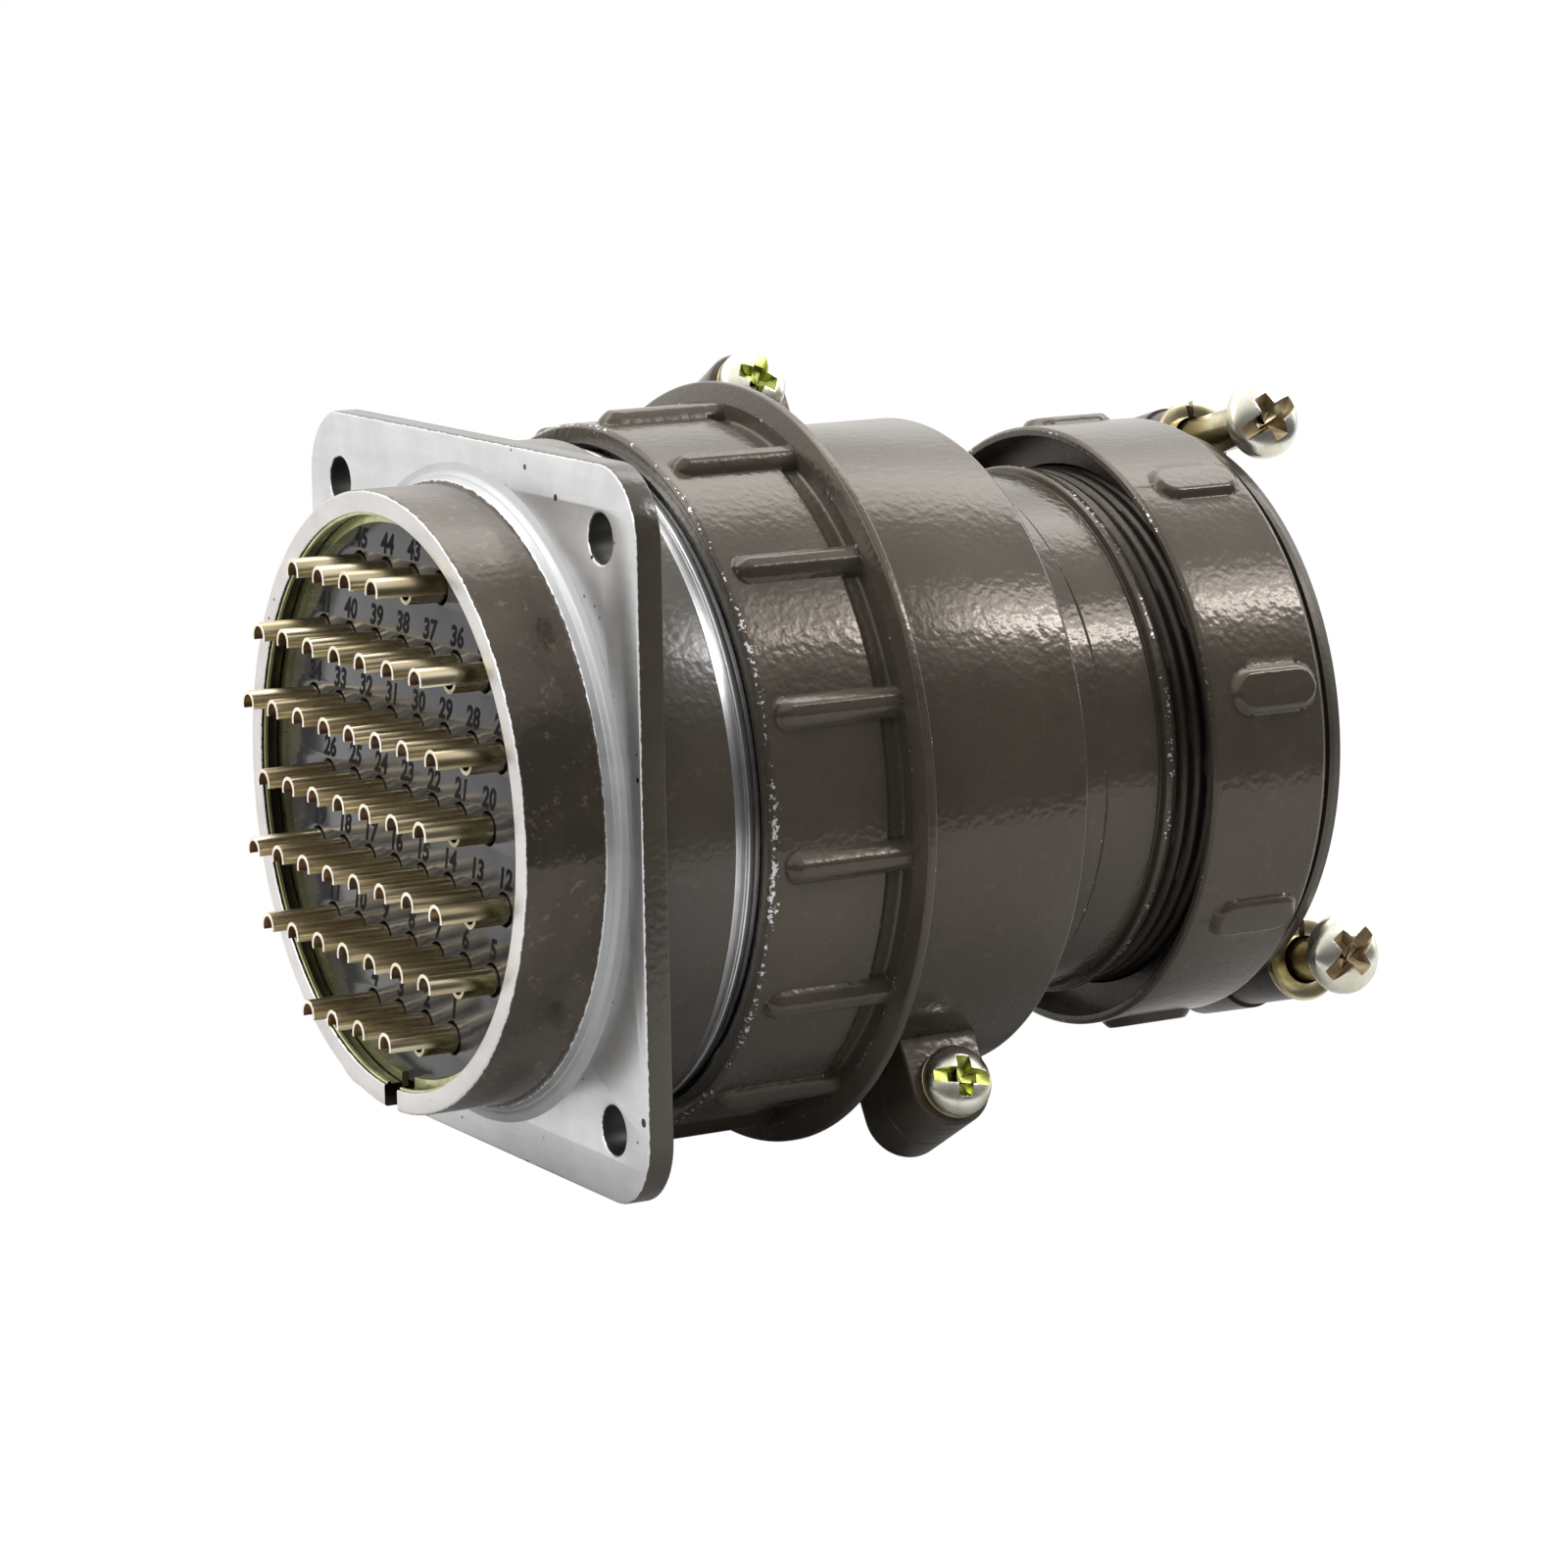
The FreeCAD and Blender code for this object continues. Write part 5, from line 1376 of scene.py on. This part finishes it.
class CONNECTOR_OT_backshell(bpy.types.Operator):
    """Makes the two backshell halves with their lugs and the threaded neck"""
    bl_idname = "connector.backshell"
    bl_label = "Backshell"

    def execute(self, context):
        for name, node, side, depth in (("near_backshell", "backshell_near_half", 1, LUG_NEAR),
                                        ("far_backshell", "backshell_far_half", -1, LUG_FAR)):
            piece = joined(name, [self.half(name, side), self.lug(name, side, depth, 1),
                                  self.lug(name, side, depth, -1)])
            piece.data.transform(tilted(BODY_TILT))
            # The neck thread gets the darker paint, painted shade.
            paint(piece, [finish("body_paint"), finish("thread_painted_shade")],
                  lambda middle, radius, normal: 1 if middle.x > NECK_THREAD_START + 1.5 else 0)
            place(piece, "plug", node)
        return {"FINISHED"}

    def half(self, name, side):
        """One half of the shell on its side of the split, as it stands before the tilt."""
        seat = NECK_END - BUSHING_SEAT
        seat_bore = NECK_BORE - BUSHING_STEP
        neck_crown = NECK_RADIUS + 0.08
        neck_edge = BODY_END + NECK_STEP_LENGTH
        cavity_end = BODY_END - BODY_WALL
        thread_start = NECK_THREAD_START + 1.4
        outline = rounded([
            (BODY_FRONT, HOOK_BORE),
            (BODY_FRONT, BODY_RADIUS, 0.4),
            (BODY_END, BODY_RADIUS, 0.6),
            (BODY_END + 0.15, NECK_RADIUS + NECK_STEP, 0.7),
            (neck_edge - 0.3, NECK_RADIUS + NECK_STEP, 0.15),
            (neck_edge, NECK_RADIUS + 0.1, 0.15),
            (neck_edge + 0.3, NECK_RADIUS, 0.15),
            (NECK_THREAD_START - 0.4, NECK_RADIUS, 0.1),
            (NECK_THREAD_START - 0.1, NECK_RADIUS - 0.4, 0.1),
            (NECK_THREAD_START + 0.2, NECK_RADIUS - 0.4, 0.1),
            (NECK_THREAD_START + 0.3, NECK_RADIUS + NECK_CREST, 0.35),
            (NECK_THREAD_START + 1.25, NECK_RADIUS + NECK_CREST, 0.35),
            (NECK_THREAD_START + 1.35, neck_crown, 0.1),
            (NECK_END - 0.5, neck_crown),
            (NECK_END, NECK_RADIUS - 0.5),
            (NECK_END, NECK_BORE),
            (seat, NECK_BORE),
            (seat, seat_bore),
            (seat - BUSHING_STEP, seat_bore),
            (seat - BUSHING_STEP * 2, NECK_BORE),
            (cavity_end, NECK_BORE),
            (cavity_end, BODY_BORE),
            (HOOK_END, BODY_BORE),
            (HOOK_END, HOOK_BORE),
        ], 4)
        outline = refined(outline, thread_start, NECK_END - 0.4, 0.14, NECK_RADIUS + 0.05)
        thread = thread_cut(thread_start, NECK_END, neck_crown, NECK_THREAD_DEPTH, NECK_LEAD, NECK_LEAD)
        start = 0.0 if side > 0 else 180.0
        return turned_piece(name, outline, even_steps(HALF_STEPS, start, start + 180), thread, ends=True)

    def lug(self, name, side, depth, end):
        """One lug of a half, with its bore; it stands on the split plane and its far end is rounded."""
        root = end * (BODY_RADIUS - 1.3)
        centre = LUG_TIP - LUG_RADIUS
        soft = LUG_SOFT_NEAR if side > 0 else LUG_SOFT_FAR
        profile = [(0.0, 0.12), (0.12, 0.0)]
        for turn in even_steps(6, 0.0, 90.0):
            turn = math.radians(turn)
            profile.append((depth - soft + soft * math.sin(turn), soft * (1 - math.cos(turn))))
        shape = bmesh.new()
        rings = []
        for lift, inset in profile:
            radius = LUG_RADIUS - inset
            ring = [(LUG_PLACE + radius, root)]
            for turn in even_steps(30, 0.0, 180.0):
                ring.append((LUG_PLACE + radius * math.cos(math.radians(turn)),
                             end * (centre + radius * math.sin(math.radians(turn)))))
            ring.append((LUG_PLACE - radius, root))
            rings.append([shape.verts.new(Vector((x, y, side * lift)) * MM) for x, y in ring])
        piece = new_object(name + "_lug", to_mesh(name + "_lug", skin(shape, rings, ends=True)))
        drill = turned_piece("drill", [
            (-CLEAR, POLE), (-CLEAR, LUG_BORE), (depth + CLEAR, LUG_BORE), (depth + CLEAR, POLE),
        ], even_steps(32))
        drill.data.transform(Matrix.Rotation(math.radians(-90 * side), 4, "Y"))
        drill.data.transform(Matrix.Translation(Vector((LUG_PLACE, end * LUG_DISTANCE, 0.0)) * MM))
        cut(piece, drill)
        return piece


def pan_head(kind, slot_turn):
    """A pan-head screw along +X: a domed head on x = 0 with a cross and slot drive."""
    dome = [(kind.height * (0.3 + 0.7 * math.cos(math.radians(turn))),
             kind.head * math.sin(math.radians(turn))) for turn in even_steps(11, 90.0, 2.0)]
    outline = rounded([
        (-kind.length + 0.4, POLE),
        (-kind.length, kind.shank - 0.4),
        (-kind.length + 0.4, kind.shank),
        (0.0, kind.shank),
        (0.0, kind.head - 0.05, 0.15),
        *dome,
        (kind.height, POLE),
    ], 3)
    piece = turned_piece("screw", outline, even_steps(SCREW_STEPS))
    paint(piece, [finish("zinc"), finish("zinc_yellow")],
          lambda middle, radius, normal: 1 if middle.x < -0.02 else 0)
    wing = kind.head * DRIVE_WING
    top = kind.height + 0.3
    stand = Matrix.Rotation(math.radians(90), 4, "Y").inverted()
    cross = (kind.head * DRIVE_REACH, DRIVE_DEPTH, DRIVE_TAPER)
    groove = (kind.head + 3, GROOVE_DEPTH, GROOVE_TAPER)
    for angle, (reach, depth, narrow) in ((0, cross), (90, cross), (0, groove)):
        floor = kind.height - kind.head * depth
        turn = Matrix.Rotation(math.radians(slot_turn + angle), 4, "X")
        recess = block("recess", (-reach, -wing, -top), (reach, wing, -floor), turn @ stand, narrow)
        paint(recess, [finish(kind.recess)])
        cut(piece, recess)
    soften = piece.modifiers.new("soften", "BEVEL")
    soften.width = HEAD_BEVEL * MM
    soften.segments = 2
    soften.limit_method = "ANGLE"
    soften.angle_limit = math.radians(50)
    apply_modifiers(piece)
    return piece


def split_washer(kind):
    """A spring washer along +X from x = 0, its ends sprung a little apart."""
    inner, outer, thick = kind.washer_bore, kind.washer, kind.washer_thick
    outline = rounded([(0.0, inner, 0.08), (thick, inner, 0.08), (thick, outer, 0.1), (0.0, outer, 0.1)], 2)
    start, last_quarter, end = 6.0, 270.0, 354.0

    def spring(x, radius, angle):
        return x + thick * 0.28 * max(0.0, (angle - last_quarter) / (end - last_quarter)), radius

    piece = turned_piece("washer", outline, even_steps(70, start, end), spring, ends=True)
    paint(piece, [finish("zinc_yellow")])
    return piece


def along_screw(kind, across, lift):
    """Where a part that stands along +X goes so that it stands along a screw of the split pieces."""
    stand = Matrix.Rotation(math.radians(-90), 4, "Y")
    return tilted(kind.tilt) @ Matrix.Translation(Vector((kind.place, across, lift)) * MM) @ stand


class CONNECTOR_OT_screws(bpy.types.Operator):
    """Makes the four pan-head screws and their spring washers"""
    bl_idname = "connector.screws"
    bl_label = "Screws and washers"

    def execute(self, context):
        screws, washers = self.pair(LUG_SCREW, ((62.0, LUG_NEAR), (-12.0, LUG_NEAR)))
        place(joined("backshell_pan_screws", screws), "plug", "backshell_screws")
        place(joined("backshell_washers", washers), "plug", "backshell_spring_washers")
        screws, washers = self.pair(CLAMP_SCREW, ((25.0, SADDLE_TOP), (35.0, BASE_TOP)))
        place(joined("clamp_pan_screws", screws), "clamp", "clamp_screws")
        place(joined("clamp_washers", washers), "saddle", "clamp_spring_washers")
        return {"FINISHED"}

    def pair(self, kind, seats):
        """Two screws with their washers; seats gives each slot's turn and where the washer lies."""
        screws = []
        washers = []
        for across, (slot_turn, seat) in zip((kind.distance, -kind.distance), seats):
            screw = pan_head(kind, slot_turn)
            screw.data.transform(along_screw(kind, across, kind.base))
            screws.append(screw)
            washer = split_washer(kind)
            washer.data.transform(along_screw(kind, across, seat))
            washers.append(washer)
        return screws, washers


# Nodes whose solids already have the right shape: their body, slot and finish.
CARRIED = (
    ("receptacle_retaining_ring", "receptacle", "spring_steel", "snap_ring"),
    ("interface_seal", "receptacle", "seal_rubber", "rubber"),
    ("plug_shell", "plug", "bare_aluminium", "ring_metal"),
    ("plug_insert", "plug", "black_moulding", "moulding"),
    ("plug_contacts", "plug", "contact_brass", "brass"),
    ("plug_retaining_ring", "plug", "spring_steel", "snap_ring"),
    ("cable_bushing", "plug", "seal_rubber", "rubber"),
    ("gland_washer", "plug", "spring_steel", "zinc"),
    ("slip_washer", "slip_ring", "spring_steel", "zinc"),
    ("clamp_hub", "clamp", "bare_aluminium", "ring_metal"),
    ("clamp_base", "clamp", "black_paint", "clamp_paint"),
    ("clamp_saddle", "saddle", "black_paint", "clamp_paint"),
)


def slimmed_ring(mesh):
    """Brings the clamp's ring in to the radius that the photograph shows."""
    for vertex in mesh.vertices:
        x, y, z = vertex.co / MM
        radius = math.hypot(y, z)
        if x < CLAMP_RING_BACK and radius > CLAMP_RING_RADIUS:
            vertex.co = Vector((x, y * CLAMP_RING_RADIUS / radius, z * CLAMP_RING_RADIUS / radius)) * MM


class CONNECTOR_OT_carried(bpy.types.Operator):
    """Smooths the pieces whose solids already have their true shape and gives them their finish"""
    bl_idname = "connector.carried"
    bl_label = "Carried pieces"

    def execute(self, context):
        for node, body, slot, look in CARRIED:
            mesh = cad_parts[node].data.copy()
            shape = bmesh.new()
            shape.from_mesh(mesh)
            bmesh.ops.remove_doubles(shape, verts=shape.verts, dist=CARRIED_DOUBLES * MM)
            shape.to_mesh(mesh)
            shape.free()
            if node == "clamp_base":
                slimmed_ring(mesh)
            piece = new_object(node + "_finished", mesh)
            paint(piece, [finish(look)])
            place(piece, body, node, CARRIED_EDGE)
        return {"FINISHED"}


def facing(where, right, up, back):
    """Where a camera or lamp stands, with its own three directions."""
    return Matrix.Translation(where) @ Matrix((right, up, back)).transposed().to_4x4()


def shown_and_lit(tree, seen, lit, out):
    """Shows one shader to the camera, and lights the object with another."""
    rays = new_node(tree, "ShaderNodeLightPath")
    mix = new_node(tree, "ShaderNodeMixShader", {0: rays["Is Camera Ray"], 1: lit[0], 2: seen[0]})
    new_node(tree, out, {"Surface": mix[0]})


class CONNECTOR_OT_stage(bpy.types.Operator):
    """Sets the camera, the lights, the backdrop and the floor"""
    bl_idname = "connector.stage"
    bl_label = "Stage"

    def execute(self, context):
        scene = context.scene
        scene.view_settings.view_transform = "Standard"
        self.camera(scene)
        self.lights()
        self.world(scene)
        self.floor()
        return {"FINISHED"}

    def camera(self, scene):
        lens = bpy.data.cameras.new("camera")
        lens.lens = CAMERA_LENS
        lens.sensor_width = 36.0
        lens.clip_start = 0.01
        lens.clip_end = 20.0
        scene.camera = new_object("camera", lens)
        right = Vector(CAMERA_RIGHT)
        up = Vector(CAMERA_UP)
        scene.camera.matrix_world = facing(Vector(CAMERA_PLACE) * MM, right, up, right.cross(up))

    def lights(self):
        """Rectangular lights, their long side level and along the axis."""
        for name, row, start, end, width, gain in SOFT_BOXES:
            lamp = bpy.data.lights.new(name, "AREA")
            lamp.shape = "RECTANGLE"
            lamp.size = end - start
            lamp.size_y = width
            lamp.energy = settings("stage").key_power * gain
            where = Vector(row) + Vector(((start + end) / 2, 0.0, 0.0))
            back = (where - Vector(LIGHT_AIM)).normalized()
            right = (Vector((1, 0, 0)) - back * back.x).normalized()
            new_object(name, lamp).matrix_world = facing(where, right, back.cross(right), back)

    def world(self, scene):
        """White for the camera; for the object, a bright backdrop behind and a darker front."""
        scene.world = bpy.data.worlds.new("studio")
        scene.world.use_nodes = True
        tree = scene.world.node_tree
        tree.nodes.clear()
        direction = new_node(tree, "ShaderNodeTexCoord")["Generated"]
        split = new_node(tree, "ShaderNodeSeparateXYZ", {0: direction})
        turn = maths(tree, "ARCTAN2", split["Z"], split["Y"])
        ramp = tree.nodes.new("ShaderNodeValToRGB")
        stops = ramp.color_ramp.elements
        sky = self.sky(settings("stage"))
        brightest = max(level for angle, level in sky)
        while len(stops) < len(sky):
            stops.new(0.5)
        for stop, (angle, level) in zip(stops, sky):
            stop.position = angle / FULL_TURN + 0.5
            stop.color = (level / brightest, level / brightest, level / brightest, 1.0)
        tree.links.new(maths(tree, "MULTIPLY_ADD", turn, 0.5 / math.pi, 0.5), ramp.inputs[0])
        studio = new_node(tree, "ShaderNodeBackground", {
            "Strength": maths(tree, "MULTIPLY", ramp.outputs[0], brightest), "Color": STUDIO_WHITE})
        seen = new_node(tree, "ShaderNodeBackground", {"Color": WHITE})
        shown_and_lit(tree, seen, studio, "ShaderNodeOutputWorld")

    def sky(self, stage):
        """Brightness of the studio by the angle round the axis, from behind (0) over the top (90)."""
        back, top, front = stage.backdrop, stage.overhead, stage.front
        return (
            (-180.0, front), (-90.0, front), (-40.0, back * 0.4), (0.0, back * 0.6),
            (30.0, back), (45.0, back * 1.1), (57.0, top * 0.65), (64.0, top), (78.0, top),
            (87.0, top * 0.28), (120.0, top * 0.28), (140.0, top * 0.2), (148.0, front * 2),
            (165.0, front), (180.0, front),
        )

    def floor(self):
        """A pale floor that the camera sees plain white; for the light that falls on the object it is a
        grey diffuse floor.
        """
        low = CAD_BOUNDS[0]
        shape = bmesh.new()
        bmesh.ops.create_circle(shape, cap_ends=True, segments=96, radius=FLOOR_RADIUS * MM)
        along, across = FLOOR_CENTRE
        shape.transform(Matrix.Translation((along * MM, across * MM, low[2] - FLOOR_GAP * MM)))
        floor = new_object("floor", to_mesh("floor", shape, merge=False))
        material = bpy.data.materials.new("floor_white")
        material.use_nodes = True
        tree = material.node_tree
        tree.nodes.clear()
        lit = new_node(tree, "ShaderNodeBsdfDiffuse", {"Color": FLOOR_GREY})
        seen = new_node(tree, "ShaderNodeEmission", {"Color": WHITE, "Strength": 1.0})
        shown_and_lit(tree, seen, lit, "ShaderNodeOutputMaterial")
        floor.data.materials.append(material)


OPERATORS = (
    CONNECTOR_OT_receptacle,
    CONNECTOR_OT_insert,
    CONNECTOR_OT_contacts,
    CONNECTOR_OT_coupling_nut,
    CONNECTOR_OT_backshell,
    CONNECTOR_OT_rear_nut,
    CONNECTOR_OT_screws,
    CONNECTOR_OT_carried,
    CONNECTOR_OT_stage,
)


class CONNECTOR_PT_panel(bpy.types.Panel):
    bl_label = "Circular connector"
    bl_idname = "CONNECTOR_PT_panel"
    bl_space_type = "VIEW_3D"
    bl_region_type = "UI"
    bl_category = "Connector"

    def draw(self, context):
        for group in ("shape", "finish", "stage"):
            values = settings(group)
            for name in values.__annotations__:
                self.layout.prop(values, name)
        for operator in OPERATORS:
            self.layout.operator(operator.bl_idname)


GROUP_CLASSES = (("shape", ShapeSettings), ("finish", FinishSettings), ("stage", StageSettings))


def register():
    for name, group in GROUP_CLASSES:
        bpy.utils.register_class(group)
        setattr(bpy.types.Scene, "connector_" + name, PointerProperty(type=group))
    for operator in OPERATORS:
        bpy.utils.register_class(operator)
    bpy.utils.register_class(CONNECTOR_PT_panel)


def unregister():
    bpy.utils.unregister_class(CONNECTOR_PT_panel)
    for operator in reversed(OPERATORS):
        bpy.utils.unregister_class(operator)
    for name, group in reversed(GROUP_CLASSES):
        delattr(bpy.types.Scene, "connector_" + name)
        bpy.utils.unregister_class(group)


def main():
    register()
    for operator in OPERATORS:
        family, name = operator.bl_idname.split(".")
        getattr(getattr(bpy.ops, family), name)()


if __name__ == "__main__":
    main()
